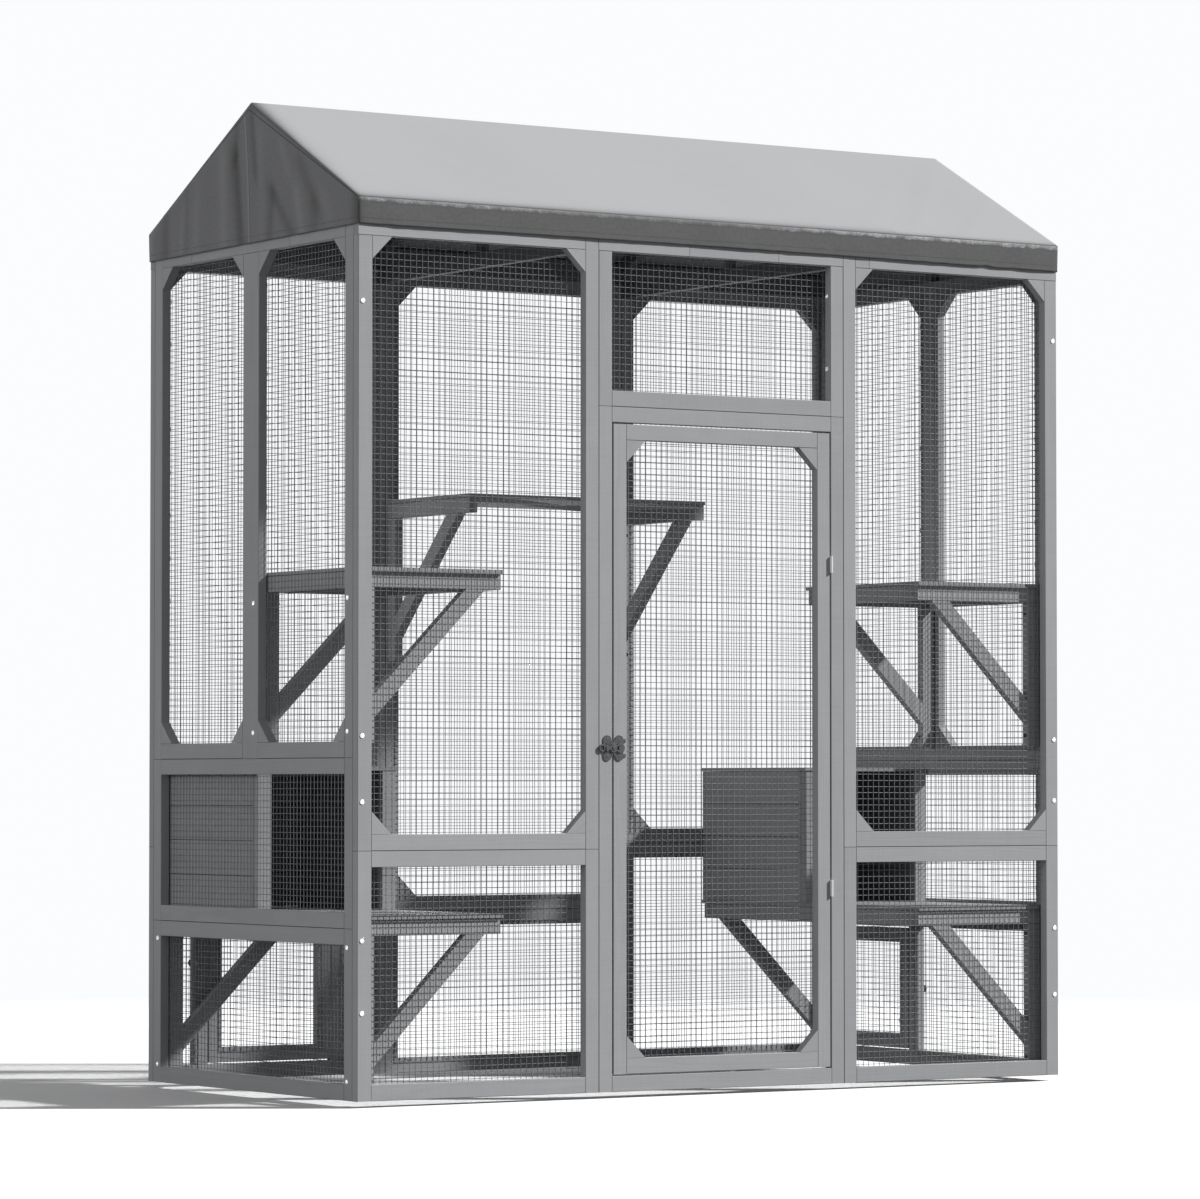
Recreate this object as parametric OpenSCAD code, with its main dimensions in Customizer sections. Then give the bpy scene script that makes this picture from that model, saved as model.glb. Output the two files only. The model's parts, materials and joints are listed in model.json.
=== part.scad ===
// Outdoor cat enclosure: bolted timber panels with welded wire nets, a walk-in door,
// two small doors, shelves on brackets, two sleeping boxes and a fabric roof cover.
// Every size is in millimetres. The origin is the middle of the base, +Z is up and
// the walk-in door faces -Y.

/* [Walls] */
// Length of the front and back walls
length = 1740; // [1500:10:2200]
// Depth over the front and back walls
depth = 860; // [760:10:1200]
// Height of the walls
wall_h = 1734; // [1600:2:2000]
// Width of the left and right columns of panels
side_col_w = 565; // [480:5:620]
// Height of the lower panels in the side columns
low_panel_h = 490; // [420:5:600]
// Height of the panel over the walk-in door
transom_h = 347; // [200:1:420]
// Height of the lower panel in the middle of the back wall
back_low_h = 347; // [250:1:450]
// Height of the lower end panels
end_low_h = 337; // [280:1:340]
// Height of the middle end panels
end_mid_h = 336; // [280:1:420]
// Width of the post between the two windows of an end wall
mid_post_w = 64; // [40:1:90]

/* [Sticks] */
// Width of every panel stick, seen on the face of a wall
stick_w = 32; // [24:1:40]
// Thickness of every panel stick
stick_t = 20; // [16:1:26]
// Chamfer along the edges of a stick
ease = 1; // [0.5:0.1:2]
// Leg of the triangular corner plates
gusset = 45; // [30:1:60]
// Hairline between sticks that are glued together
joint_gap = 0.3; // [0.1:0.1:0.6]
// Hairline between panels that are bolted together
seam = 0.4; // [0.2:0.1:1]

/* [Nets] */
// Thickness of the net wire
wire = 1.4; // [1:0.1:2.4]
// Pitch of the wires that are drawn, every fifth one of a half inch net
net_pitch = 63.5; // [50:0.5:90]
// Width that a net laps over the sticks behind its window
net_lap = 10; // [6:1:14]
// Hairline between the sticks, the upright wires and the level wires
net_gap = 0.1; // [0.1:0.05:0.3]
// Play between a net and what stands before it
net_room = 0.4; // [0.2:0.1:0.9]

/* [Doors] */
// Gap round each door, which also holds the hinge leaves
door_gap = 3; // [2.8:0.1:5]
// Left edge of the opening for the small back door
back_door_u = 130; // [100:1:160]
// Width of the opening for the small back door
back_door_w = 302; // [200:1:320]
// Front edge of the opening for the small end door
end_door_u = 509; // [400:1:560]

/* [Hinges] */
// Radius of a hinge barrel
barrel_r = 3; // [2.5:0.1:4]
// Height of a hinge
hinge_h = 34; // [26:1:50]
// Radius of a hinge pin
hinge_pin_r = 1.4; // [1:0.1:1.8]
// Thickness of a hinge leaf
leaf_t = 1.2; // [0.8:0.1:1.3]
// Depth of a hinge leaf into the gap
leaf_d = 16; // [10:1:18]
// Play between a hinge's knuckles, and between its pin and bore
hinge_play = 0.1; // [0.05:0.01:0.1]
// Heights of the walk-in door's hinges
main_hinge_z = [405, 1078];
// Height of the small doors' hinges from the top and bottom edges
small_hinge_z = 52; // [40:1:90]

/* [Latches] */
// Height of the walk-in door's latch
main_latch_z = 694; // [400:1:1100]
// Half distance across between the lobes of the latch plates
lobe_u = 14.5; // [12:0.5:18]
// Half distance up between the lobes of the latch plates
lobe_z = 16.5; // [15:0.5:24]
// Radius of the lobes
lobe_r = 9.8; // [7:0.1:10]
// Thickness of the latch plates
plate_t = 2; // [1.5:0.1:2.2]
// Thickness of the turning lever
lever_t = 2.5; // [1.5:0.1:2.7]
// Radius of the rivet that the lever turns on
rivet_r = 2.5; // [2:0.1:3]
// Radius of the lever's finger ring
ring_r = 7.5; // [6:0.5:9]
// Distance from the rivet to the finger ring's middle
ring_u = 28; // [27:1:36]

/* [Shelves] */
// Reach of the side shelves from the net
side_reach = 326; // [260:1:420]
// Reach of the high back shelf from the net
back_reach = 335; // [260:1:400]
// Thickness of the shelf and box boards
board_t = 8; // [6:0.5:12]
// Boards across one shelf
boards = 4; // [2:1:6]
// Overhang of a deck past its fascia
deck_over = 3; // [0:1:10]
// Height of a shelf arm's underside: low shelves, middle shelves, back shelf
arm_z = [322, 1010, 1193];
// Length of a bracket's leg below its arm
leg_drop = 307; // [260:1:310]
// Height of the brace's foot above the leg's lower end
brace_foot = 50; // [20:1:80]
// Distance that the middle shelves reach past the middle of the end walls
shelf_past_mid = 4; // [0:1:5]
// Distance from a shelf's edge to its bracket
bracket_inset = 7; // [2:1:20]
// Distance that the high shelf stops short of the back wall's middle column
back_short = 8; // [0:1:10]
// Height of the bowed batten under the front edge of the high shelf
batten_h = 10; // [6:1:20]
// Thickness of the bowed batten
batten_t = 8; // [5:0.5:12]
// Drop of the bowed batten in its middle
batten_sag = 12; // [0:1:16]
// Straight length at either end of the bowed batten
batten_straight = 40; // [20:5:100]

/* [Sleeping boxes] */
// Distance from the middle of the end walls to the front of the sleeping boxes
den_from_mid = 8; // [6:1:50]
// Height of a sleeping box under its roof
den_wall_h = 287; // [220:1:320]
// Rows of boards in the box walls
den_rows = 4; // [3:1:5]

/* [Roof] */
// Height of the ridge over the walls
ridge_rise = 276; // [220:1:400]
// Height of the cover's eave edge over the walls
eave_rise = 45; // [30:1:60]
// Distance that the cover hangs down below the top of the walls
hem_drop = 13; // [0:1:30]
// Distance that the cover hangs outside the walls
cover_over = 5; // [3:0.5:6]
// Thickness of the cover
cover_t = 1.2; // [0.8:0.1:2]
// Depth of the cover's folds
fold = 2; // [0.5:0.1:2]
// Length of the waves along the hanging edge
wave = 400; // [250:10:600]
// Sag of the cover between the trusses
sag = 4; // [0:0.5:4]
// Play between the cover and the timbers under it
roof_play = 0.5; // [0.3:0.1:1]

/* [Screws] */
// Radius of a screw head
screw_r = 4.8; // [3:0.1:6]
// Height of a screw head
screw_h = 1.8; // [1:0.1:3]

/* [Hidden] */

$fn = 48;

wood = [0.62, 0.63, 0.64];
wood_dim = [0.46, 0.47, 0.48];
wire_grey = [0.36, 0.37, 0.38];
cover_grey = [0.40, 0.40, 0.41];
steel = [0.90, 0.91, 0.92];
latch_grey = [0.22, 0.22, 0.23];
white = [0.95, 0.95, 0.95];

// Edges of the columns and panels, each with its half seam taken off
half_seam = seam / 2;
left_col = [0, side_col_w - half_seam];
mid_col = [side_col_w + half_seam, length - side_col_w - half_seam];
right_col = [length - side_col_w + half_seam, length];
end_span = [stick_t + half_seam, depth - stick_t - half_seam];
low_rows = [0, low_panel_h - half_seam];
high_rows = [low_panel_h + half_seam, wall_h];
door_rows = [0, wall_h - transom_h - half_seam];
transom_rows = [wall_h - transom_h + half_seam, wall_h];
back_low_rows = [0, back_low_h - half_seam];
back_high_rows = [back_low_h + half_seam, wall_h];
end_low_rows = [0, end_low_h - half_seam];
end_mid_rows = [end_low_h + half_seam, end_low_h + end_mid_h - half_seam];
end_high_rows = [end_low_h + end_mid_h + half_seam, wall_h];

// Edges of the three doors
main_door_u = [mid_col[0] + stick_w + door_gap, mid_col[1] - stick_w - door_gap];
main_door_rows = [stick_w + door_gap, door_rows[1] - stick_w - door_gap];
back_door_span = [back_door_u + door_gap, back_door_u + back_door_w - door_gap];
back_door_rows = [stick_w + door_gap, low_rows[1] - stick_w - door_gap];
end_door_span = [end_door_u + door_gap, end_span[1] - stick_w - door_gap];
end_door_rows = [stick_w + door_gap, end_low_rows[1] - stick_w - door_gap];

// Windows in the lower panels that the small doors leave
back_left_window = [left_col[0] + stick_w, back_door_u - stick_w];
back_right_window = [back_door_u + back_door_w + stick_w, left_col[1] - stick_w];
end_low_window = [end_span[0] + stick_w, end_door_u - stick_w];

// Shelves and boxes start clear of the net
room = stick_t + 2 * (net_gap + wire) + net_room;
mid_shelf_u = [room, depth / 2 + shelf_past_mid];
den_u = depth / 2 + den_from_mid;
deck_z = [for (z = arm_z) z + stick_w];
side_u = [room, depth - room];
den_z = deck_z[0] + board_t + joint_gap;
back_shelf_u = [side_col_w, length - side_col_w - back_short];
// Straight pieces that the bow of the batten is drawn with
batten_steps = 24;

// Heights of the cover, its slope, and its upper and lower faces
ridge_h = wall_h + ridge_rise;
eave_h = wall_h + eave_rise;
hem_h = wall_h - hem_drop;
roof_slope = (ridge_h - eave_h) / (depth / 2 + cover_over);
roof_angle = atan(roof_slope);
truss_u = [side_col_w - stick_t / 2, length - side_col_w + stick_t / 2];

function roof_top(y) = ridge_h - abs(y - depth / 2) * roof_slope;
function roof_under(y) = roof_top(y) - cover_t / cos(roof_angle) - roof_play;

// Positions of the hinge axes and latch rivets, in their wall's own directions
axis_out = barrel_r + 0.2;
main_axis_u = main_door_u[1] + door_gap / 2;
back_axis_u = back_door_span[1] + door_gap / 2;
end_axis_u = end_door_span[1] + door_gap / 2;
back_hinges = [back_door_rows[0] + small_hinge_z, back_door_rows[1] - small_hinge_z];
end_hinges = [end_door_rows[0] + small_hinge_z, end_door_rows[1] - small_hinge_z];
main_rivet = [main_door_u[0] - door_gap / 2, main_latch_z];
back_rivet = [back_door_span[0] - door_gap / 2, (back_door_rows[0] + back_door_rows[1]) / 2];
end_rivet = [end_door_span[0] - door_gap / 2, (end_door_rows[0] + end_door_rows[1]) / 2];

// Latch layers, counted outwards from the face of the wall
plate_gap = 0.1;
lever_gap = 0.3;
plate_out = plate_gap + plate_t;
lever_in = plate_out + lever_gap;
lever_out = lever_in + lever_t;
cap_in = lever_out + lever_gap;
cap_t = 1.2;
disc_r = 12.5;
disc_gap = 0.5;
neck_w = 6;
hub_r = 9;
head_u = 16;
head_r = 10;
hook_u = [-19.5, -13.5];
tab_z = 15;
ring_floor = 0.8;

// Puts the middle of the base at the origin
module centred() translate([-length / 2, -depth / 2, 0]) children();

// The four walls, each drawn with u to the right, y from its outer face inwards, z up
module on_front() children();
module on_back() translate([0, depth, 0]) mirror([0, 1, 0]) children();
module on_left_end() mirror([1, 0, 0]) rotate([0, 0, 90]) children();
module on_right_end() translate([length, 0, 0]) rotate([0, 0, 90]) children();

// Turn an extrusion so that it runs along X or Y
module along_x() multmatrix([[0, 0, 1, 0], [1, 0, 0, 0], [0, 1, 0, 0], [0, 0, 0, 1]]) children();
module along_y() multmatrix([[0, 1, 0, 0], [0, 0, 1, 0], [1, 0, 0, 0], [0, 0, 0, 1]]) children();

// Section of a planed stick with eased edges
module stick_section(a, b)
    polygon([
        [ease, 0], [a - ease, 0], [a, ease], [a, b - ease],
        [a - ease, b], [ease, b], [0, b - ease], [0, ease]
    ]);

module post(p, s) translate(p) linear_extrude(height = s[2]) stick_section(s[0], s[1]);

module beam_x(p, s)
    translate(p) along_x() linear_extrude(height = s[0]) stick_section(s[1], s[2]);

module beam_y(p, s)
    translate(p) along_y() linear_extrude(height = s[1]) stick_section(s[2], s[0]);

// A flat shape in u and z, raised inwards from the face by y0 to y1
module on_face(y0, y1)
    translate([0, y1, 0]) rotate([90, 0, 0]) linear_extrude(height = y1 - y0) children();

// Corner plate with its right angle at (u, z), reaching along the signs su and sz
module corner_plate(u, z, su, sz)
    on_face(0, stick_t)
        translate([u + su * joint_gap, z + sz * joint_gap])
            polygon([[0, 0], [su * gusset, 0], [0, sz * gusset]]);

// Corner plates of one window
module corner_plates(us, zs) {
    corner_plate(us[0], zs[0], 1, 1);
    corner_plate(us[1], zs[0], -1, 1);
    corner_plate(us[0], zs[1], 1, -1);
    corner_plate(us[1], zs[1], -1, -1);
}

// Places of the glued joints in the top rails, as shares of a panel's width
transom_cuts = [0.365, 0.731];
right_cuts = [0.12];
end_cuts = [0.307, 0.806];

function window(span) = [span[0] + stick_w, span[1] - stick_w];

// Level stick of a panel, in lengths that are glued end to end at the given places
module rail(u0, u1, z, cuts) {
    stops = concat([u0], cuts, [u1 + joint_gap]);
    for (i = [0 : len(stops) - 2])
        beam_x([stops[i], 0, z], [stops[i + 1] - stops[i] - joint_gap, stick_t, stick_w]);
}

// Frame of one panel. The stiles run past the rails, and the top rail may run over a stile.
// The cuts of the top rail are shares of the panel's width
module panel(us, zs, over_left = false, over_right = false, cuts = []) {
    fit = stick_w + joint_gap;
    top_left = over_left ? fit : 0;
    top_right = over_right ? fit : 0;
    w = us[1] - us[0];
    h = zs[1] - zs[0];
    post([us[0], 0, zs[0]], [stick_w, stick_t, h - top_left]);
    post([us[1] - stick_w, 0, zs[0]], [stick_w, stick_t, h - top_right]);
    rail(us[0] + fit, us[1] - fit, zs[0], []);
    rail(us[0] + fit - top_left, us[1] - fit + top_right, zs[1] - stick_w,
        [for (c = cuts) us[0] + c * w]);
}

module braced_panel(us, zs, over_left = false, over_right = false, cuts = []) {
    panel(us, zs, over_left, over_right, cuts);
    corner_plates(window(us), window(zs));
}

// A post between the rails of a panel
module inner_post(u, zs)
    post([u, 0, zs[0] + stick_w + joint_gap],
        [stick_w, stick_t, zs[1] - zs[0] - 2 * stick_w - 2 * joint_gap]);

// Upper end panel: two windows beside a broad post that stands between two lower rails
module end_windows_panel(us, zs) {
    mid = (us[0] + us[1]) / 2;
    fit = stick_w + joint_gap;
    h = zs[1] - zs[0];
    for (u = [us[0], us[1] - stick_w])
        post([u, 0, zs[0]], [stick_w, stick_t, h]);
    post([mid - mid_post_w / 2, 0, zs[0]], [mid_post_w, stick_t, h - fit]);
    rail(us[0] + fit, mid - mid_post_w / 2 - joint_gap, zs[0], []);
    rail(mid + mid_post_w / 2 + joint_gap, us[1] - fit, zs[0], []);
    rail(us[0] + fit, us[1] - fit, zs[1] - stick_w, [for (c = end_cuts) us[0] + c * (us[1] - us[0])]);
    corner_plates([us[0] + stick_w, mid - mid_post_w / 2], window(zs));
    corner_plates([mid + mid_post_w / 2, us[1] - stick_w], window(zs));
}

// One wire of eight sides, standing on its end
module net_wire(run) linear_extrude(height = run) rotate(22.5) circle(d = wire / cos(22.5), $fn = 8);

// Welded wire net over a window, on the inner face of the sticks: upright wires in a
// first layer and level wires in a second
module net(us, zs) {
    u0 = us[0] - net_lap;
    z0 = zs[0] - net_lap;
    w = us[1] + net_lap - u0;
    h = zs[1] + net_lap - z0;
    cols = max(1, round(w / net_pitch));
    rows = max(1, round(h / net_pitch));
    step_u = (w - wire) / cols;
    step_z = (h - wire) / rows;
    y0 = stick_t + net_gap + wire / 2;
    y1 = y0 + wire + net_gap;
    for (i = [0 : cols])
        translate([u0 + wire / 2 + i * step_u, y0, z0]) net_wire(h);
    for (j = [0 : rows])
        translate([u0, y1, z0 + wire / 2 + j * step_z]) along_x() net_wire(w);
}

// Shelf bracket: leg on the wall, arm on the leg, brace between them
module bracket(u, z, reach) {
    foot = z - leg_drop;
    y0 = room + stick_w + joint_gap;
    z1 = foot + brace_foot;
    z2 = z - joint_gap;
    cut = stick_w * sqrt(2);
    post([u, room, foot], [stick_t, stick_w, leg_drop - joint_gap]);
    beam_y([u, room, z], [stick_t, reach, stick_w]);
    translate([u, 0, 0])
        along_x()
            linear_extrude(height = stick_t)
                polygon([[y0, z1], [y0 + z2 - z1, z2], [y0 + z2 - z1 - cut, z2], [y0, z1 + cut]]);
}

// The two brackets of a shelf
module bracket_pair(us, z, reach, inset) {
    bracket(us[0] + inset, z, reach);
    bracket(us[1] - inset - stick_t, z, reach);
}

// First and last point between the brackets of a shelf
function between_brackets(us, inset) =
    [us[0] + inset + stick_t + joint_gap, us[1] - inset - stick_t - joint_gap];

// Two brackets with a fascia between their ends and a cleat along the wall
module shelf(us, z, reach, inset) {
    span = between_brackets(us, inset);
    bracket_pair(us, z, reach, inset);
    for (y = [room, room + reach - stick_t])
        beam_x([span[0], y, z], [span[1] - span[0], stick_t, stick_w]);
}

// Thin batten along span, its ends level with z, that hangs bowed in its middle
module bowed_batten(span, y, z) {
    u1 = span[0] + batten_straight;
    w = span[1] - span[0] - 2 * batten_straight;
    upper = concat(
        [[span[0], z]],
        [for (i = [0 : batten_steps])
            [u1 + w * i / batten_steps, z - batten_sag * (1 - cos(360 * i / batten_steps)) / 2]],
        [[span[1], z]]);
    lower = [for (i = [len(upper) - 1 : -1 : 0]) upper[i] - [0, batten_h]];
    on_face(y, y + batten_t) polygon(concat(upper, lower));
}

// Boards side by side: len along u, the row of boards along y
module deck(us, z, reach) {
    w = (reach + deck_over) / boards;
    for (i = [0 : boards - 1])
        beam_x([us[0], room + i * w, z + joint_gap],
            [us[1] - us[0], w - joint_gap, board_t - joint_gap]);
}

// Open-fronted sleeping box that stands on the low shelf
module sleeping_box() {
    y0 = room;
    y1 = room + side_reach;
    u1 = side_u[1];
    row = den_wall_h / den_rows;
    wall_u = den_u + stick_t + joint_gap;
    jamb = [stick_t, stick_w, den_wall_h - joint_gap];
    post([den_u, y0, den_z], jamb);
    post([den_u, y1 - stick_w, den_z], jamb);
    for (i = [0 : den_rows - 1]) {
        z = den_z + i * row;
        beam_x([wall_u, y0, z], [u1 - wall_u, board_t, row - joint_gap]);
        beam_x([wall_u, y1 - board_t, z], [u1 - wall_u, board_t, row - joint_gap]);
        beam_y([u1 - board_t, y0 + board_t + joint_gap, z],
            [board_t, side_reach - 2 * (board_t + joint_gap), row - joint_gap]);
    }
    w = (side_reach + deck_over) / boards;
    for (i = [0 : boards - 1])
        beam_x([den_u - deck_over / 2, y0 + i * w, den_z + den_wall_h],
            [u1 - den_u + deck_over / 2, w - joint_gap, board_t]);
}

// One rafter, on the front side, in the plane of y and z
module rafter_section() {
    y1 = stick_t + joint_gap;
    y2 = depth / 2 - stick_t / 2 - joint_gap;
    drop = stick_w / cos(roof_angle);
    polygon([
        [y1, roof_under(y1) - drop], [y2, roof_under(y2) - drop],
        [y2, roof_under(y2)], [y1, roof_under(y1)]
    ]);
}

ridge_low = roof_under(depth / 2) - stick_w;

module ridge_section() {
    y1 = depth / 2 - stick_t / 2;
    y2 = depth / 2 + stick_t / 2;
    polygon([
        [y1, ridge_low], [y2, ridge_low], [y2, roof_under(y2)],
        [depth / 2, roof_under(depth / 2)], [y1, roof_under(y1)]
    ]);
}

// Two rafters and a king post, one stick thick from x on
module truss(x) {
    translate([x, 0, 0]) along_x() linear_extrude(height = stick_t) rafter_section();
    translate([x, depth, 0])
        mirror([0, 1, 0]) along_x() linear_extrude(height = stick_t) rafter_section();
    post([x, depth / 2 - stick_t / 2 + joint_gap, wall_h + joint_gap],
        [stick_t, stick_t - 2 * joint_gap, ridge_low - wall_h - 2 * joint_gap]);
}

// The cover is one sheet: rings of points from the hem up to the ridge
spans_x = 8;
cols_x = 3 * spans_x;
cols_y = 10;
ring_n = 2 * (cols_x + cols_y);
levels = 6;

// Places along the cover's length, with a point over the middle of each truss
function cover_x(i, over) =
    let (stops = [-over, truss_u[0], truss_u[1], length + over],
        k = min(2, floor(i / spans_x)),
        t = i / spans_x - k)
    stops[k] + t * (stops[k + 1] - stops[k]);

// Share of the way up the slope, and the height, of each ring
function ring_rise(k) = k < 3 ? 0 : (k - 2) / 4;
function ring_z(k, hem, eave, ridge) =
    k == 0 ? hem : k == 1 ? (hem + eave) / 2 : eave + ring_rise(k) * (ridge - eave);
function ring_hang(k) = k == 0 ? 1 : k == 1 ? 0.6 : 0;

// Wave of the hanging edge, and the folds that hang down an end
function hem_wave(x) = fold * (0.5 + 0.3 * sin(360 * x / wave) + 0.2 * sin(920 * x / wave + 40));
function end_wave(y) = fold * (0.5 - 0.5 * cos((y + cover_over) * 360 * 5 / (depth + 2 * cover_over)));

// Sag between the trusses, nothing over them
function sag_at(i, k) = sag * sin(180 * ring_rise(k)) * pow(sin(180 * i / spans_x), 2);

// Point j of ring k on a sheet that stands over the walls by `over`
function cover_point(j, k, over, hem, eave, ridge) =
    let (rise = ring_rise(k),
        z = ring_z(k, hem, eave, ridge),
        half = (depth / 2 + over) * (1 - rise),
        i1 = j,
        j1 = j - cols_x,
        i2 = 2 * cols_x + cols_y - j,
        j2 = ring_n - j,
        end_y1 = depth / 2 - half + 2 * half * j1 / cols_y,
        end_y2 = depth / 2 - half + 2 * half * j2 / cols_y,
        fade = 1 - rise)
    j < cols_x ?
        [cover_x(i1, over), depth / 2 - half - (i1 == 0 ? 0 : ring_hang(k) * hem_wave(cover_x(i1, over))),
            z - sag_at(i1, k)]
    : j < cols_x + cols_y ?
        [length + over + (j1 == 0 ? 0 : fade * end_wave(end_y1)), end_y1, z]
    : j < 2 * cols_x + cols_y ?
        [cover_x(i2, over),
            depth / 2 + half + (i2 == cols_x ? 0 : ring_hang(k) * hem_wave(cover_x(i2, over) + wave / 3)),
            z - sag_at(i2, k)]
    : [-over - (j2 == cols_y ? 0 : fade * end_wave(end_y2)), end_y2, z];

// Column of the ridge that point j of the last ring joins
function ridge_col(j) =
    let (m = j % ring_n)
    m < cols_x ? m
    : m < cols_x + cols_y ? cols_x
    : m < 2 * cols_x + cols_y ? 2 * cols_x + cols_y - m
    : 0;

function sheet_points(over, hem, eave, ridge) = concat(
    [for (k = [0 : levels - 1], j = [0 : ring_n - 1]) cover_point(j, k, over, hem, eave, ridge)],
    [for (i = [0 : cols_x]) [cover_x(i, over), depth / 2, ridge]]);

function ring_index(k, j) = k * ring_n + j % ring_n;

function sheet_faces(base, flip) =
    let (top = base + levels * ring_n,
        tris = concat(
            [for (k = [0 : levels - 2], j = [0 : ring_n - 1])
                [base + ring_index(k, j), base + ring_index(k + 1, j), base + ring_index(k + 1, j + 1)]],
            [for (k = [0 : levels - 2], j = [0 : ring_n - 1])
                [base + ring_index(k, j), base + ring_index(k + 1, j + 1), base + ring_index(k, j + 1)]],
            [for (j = [0 : ring_n - 1])
                [base + ring_index(levels - 1, j), top + ridge_col(j),
                    base + ring_index(levels - 1, j + 1)]],
            [for (j = [0 : ring_n - 1])
                if (ridge_col(j) != ridge_col(j + 1))
                    [base + ring_index(levels - 1, j + 1), top + ridge_col(j), top + ridge_col(j + 1)]]))
    [for (t = tris) flip ? [t[0], t[2], t[1]] : t];

sheet_n = levels * ring_n + cols_x + 1;

function hem_faces() = concat(
    [for (j = [0 : ring_n - 1])
        [ring_index(0, j), ring_index(0, j + 1), sheet_n + ring_index(0, j + 1)]],
    [for (j = [0 : ring_n - 1])
        [ring_index(0, j), sheet_n + ring_index(0, j + 1), sheet_n + ring_index(0, j)]]);

module cover_sheet() {
    drop = cover_t / cos(roof_angle);
    inner_eave = eave_h + cover_t * roof_slope - drop;
    polyhedron(
        points = concat(
            sheet_points(cover_over, hem_h, eave_h, ridge_h),
            sheet_points(cover_over - cover_t, hem_h, inner_eave, ridge_h - drop)),
        faces = concat(sheet_faces(0, false), sheet_faces(sheet_n, true), hem_faces()),
        convexity = 6);
}

// Hinge at (u, z). side is 1 for the leaf on the frame and -1 for the leaf on the door
module hinge_leaf(u, z, side) {
    knuckle = hinge_h / 3;
    lows = side > 0 ? [0, 2 * knuckle] : [knuckle];
    trim = hinge_play / 2;
    leaf_u = u + (side > 0 ? 0.2 : -0.2 - leaf_t);
    difference() {
        union() {
            for (low = lows) {
                translate([u, -axis_out, z - hinge_h / 2 + low + trim])
                    cylinder(h = knuckle - 2 * trim, r = barrel_r);
                translate([leaf_u, -axis_out, z - hinge_h / 2 + low + trim])
                    cube([leaf_t, axis_out + 1, knuckle - 2 * trim]);
            }
            translate([leaf_u, 0.2, z - hinge_h / 2]) cube([leaf_t, leaf_d, hinge_h]);
        }
        if (side < 0)
            translate([u, -axis_out, z - hinge_h]) cylinder(h = 2 * hinge_h, r = hinge_pin_r + hinge_play);
    }
    if (side > 0)
        translate([u, -axis_out, z - hinge_h / 2 + trim])
            cylinder(h = hinge_h - 2 * trim, r = hinge_pin_r);
}

module fixed_leaves(u, zs) for (z = zs) hinge_leaf(u, z, 1);
module door_leaves(u, zs) for (z = zs) hinge_leaf(u, z, -1);

// Two lobes of a latch plate on the side su, joined by a web
module lobes(su)
    for (sz = [-1, 1]) translate([su * lobe_u, sz * lobe_z]) circle(r = lobe_r);

web_in = 1.7;

// Plate on the door: lobes, two small tabs, and a round seat under the lever
module latch_plate(at) translate([at[0], 0, at[1]]) {
    on_face(-plate_out, -plate_gap) {
        lobes(1);
        translate([web_in, -lobe_z]) square([lobe_u + lobe_r - web_in, 2 * lobe_z]);
        circle(r = disc_r);
        for (sz = [-1, 1]) translate([lobe_u + lobe_r - 2, sz * tab_z - 3.5]) square([8, 7]);
    }
    translate([0, -plate_gap, 0]) rotate([90, 0, 0]) cylinder(h = cap_in + cap_t - plate_gap, r = rivet_r);
    translate([0, -cap_in, 0]) rotate([90, 0, 0]) cylinder(h = cap_t, r = rivet_r + 1.5);
}

// Plate on the post, with a hook that the lever's neck drops into
module latch_keeper(at) translate([at[0], 0, at[1]]) {
    hook_w = hook_u[1] - hook_u[0];
    hook_low = -neck_w / 2 - lever_gap;
    on_face(-plate_out, -plate_gap)
        difference() {
            union() {
                lobes(-1);
                translate([-lobe_u - lobe_r, -lobe_z]) square([lobe_u + lobe_r - web_in, 2 * lobe_z]);
            }
            circle(r = disc_r + disc_gap);
        }
    translate([hook_u[0], -cap_in - cap_t, hook_low - 3]) cube([hook_w, cap_in + cap_t - plate_gap, 3]);
    translate([hook_u[0], -cap_in - cap_t, hook_low - 3]) cube([hook_w, cap_t, neck_w + 4]);
}

// Turning lever: finger ring with a square recess, neck, hub and a round head with a
// crescent hole
module latch_lever(at)
    translate([at[0], 0, at[1]])
        difference() {
            on_face(-lever_out, -lever_in)
                difference() {
                    union() {
                        circle(r = hub_r);
                        translate([head_u, 0]) circle(r = head_r);
                        translate([0, -neck_w]) square([head_u, 2 * neck_w]);
                        translate([-ring_u, -neck_w / 2]) square([ring_u, neck_w]);
                        translate([-ring_u, 0]) circle(r = ring_r);
                    }
                    circle(r = rivet_r + 0.06);
                    difference() {
                        translate([head_u - 4, 0]) circle(r = 4.4);
                        translate([head_u - 0.5, 0]) circle(r = 4);
                    }
                }
            translate([-ring_u - 4, -lever_out - 1, -4]) cube([8, 1 + lever_t - ring_floor, 8]);
        }

// Screw heads along a wall, at [u, z]
module screw_heads(places)
    for (p = places)
        translate([p[0], 0, p[1]])
            rotate([90, 0, 0]) cylinder(h = screw_h, r1 = screw_r, r2 = screw_r * 0.65);

corner_screw_z = [172, 314, 586, 716, 1572];
leg_screw = 22;
corner_screws = [for (u = [stick_t / 2, length - stick_t / 2], z = corner_screw_z) [u, z]];

function leg_screws(us, z, inset) =
    [for (u = [us[0] + inset + stick_t / 2, us[1] - inset - stick_t / 2],
        h = [z - leg_drop + leg_screw, z - leg_screw]) [u, h]];

end_screws = concat(
    leg_screws(side_u, arm_z[0], bracket_inset),
    leg_screws(mid_shelf_u, arm_z[1], bracket_inset));
back_inset = 2;
back_screws = leg_screws(back_shelf_u, arm_z[2], back_inset);

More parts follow.
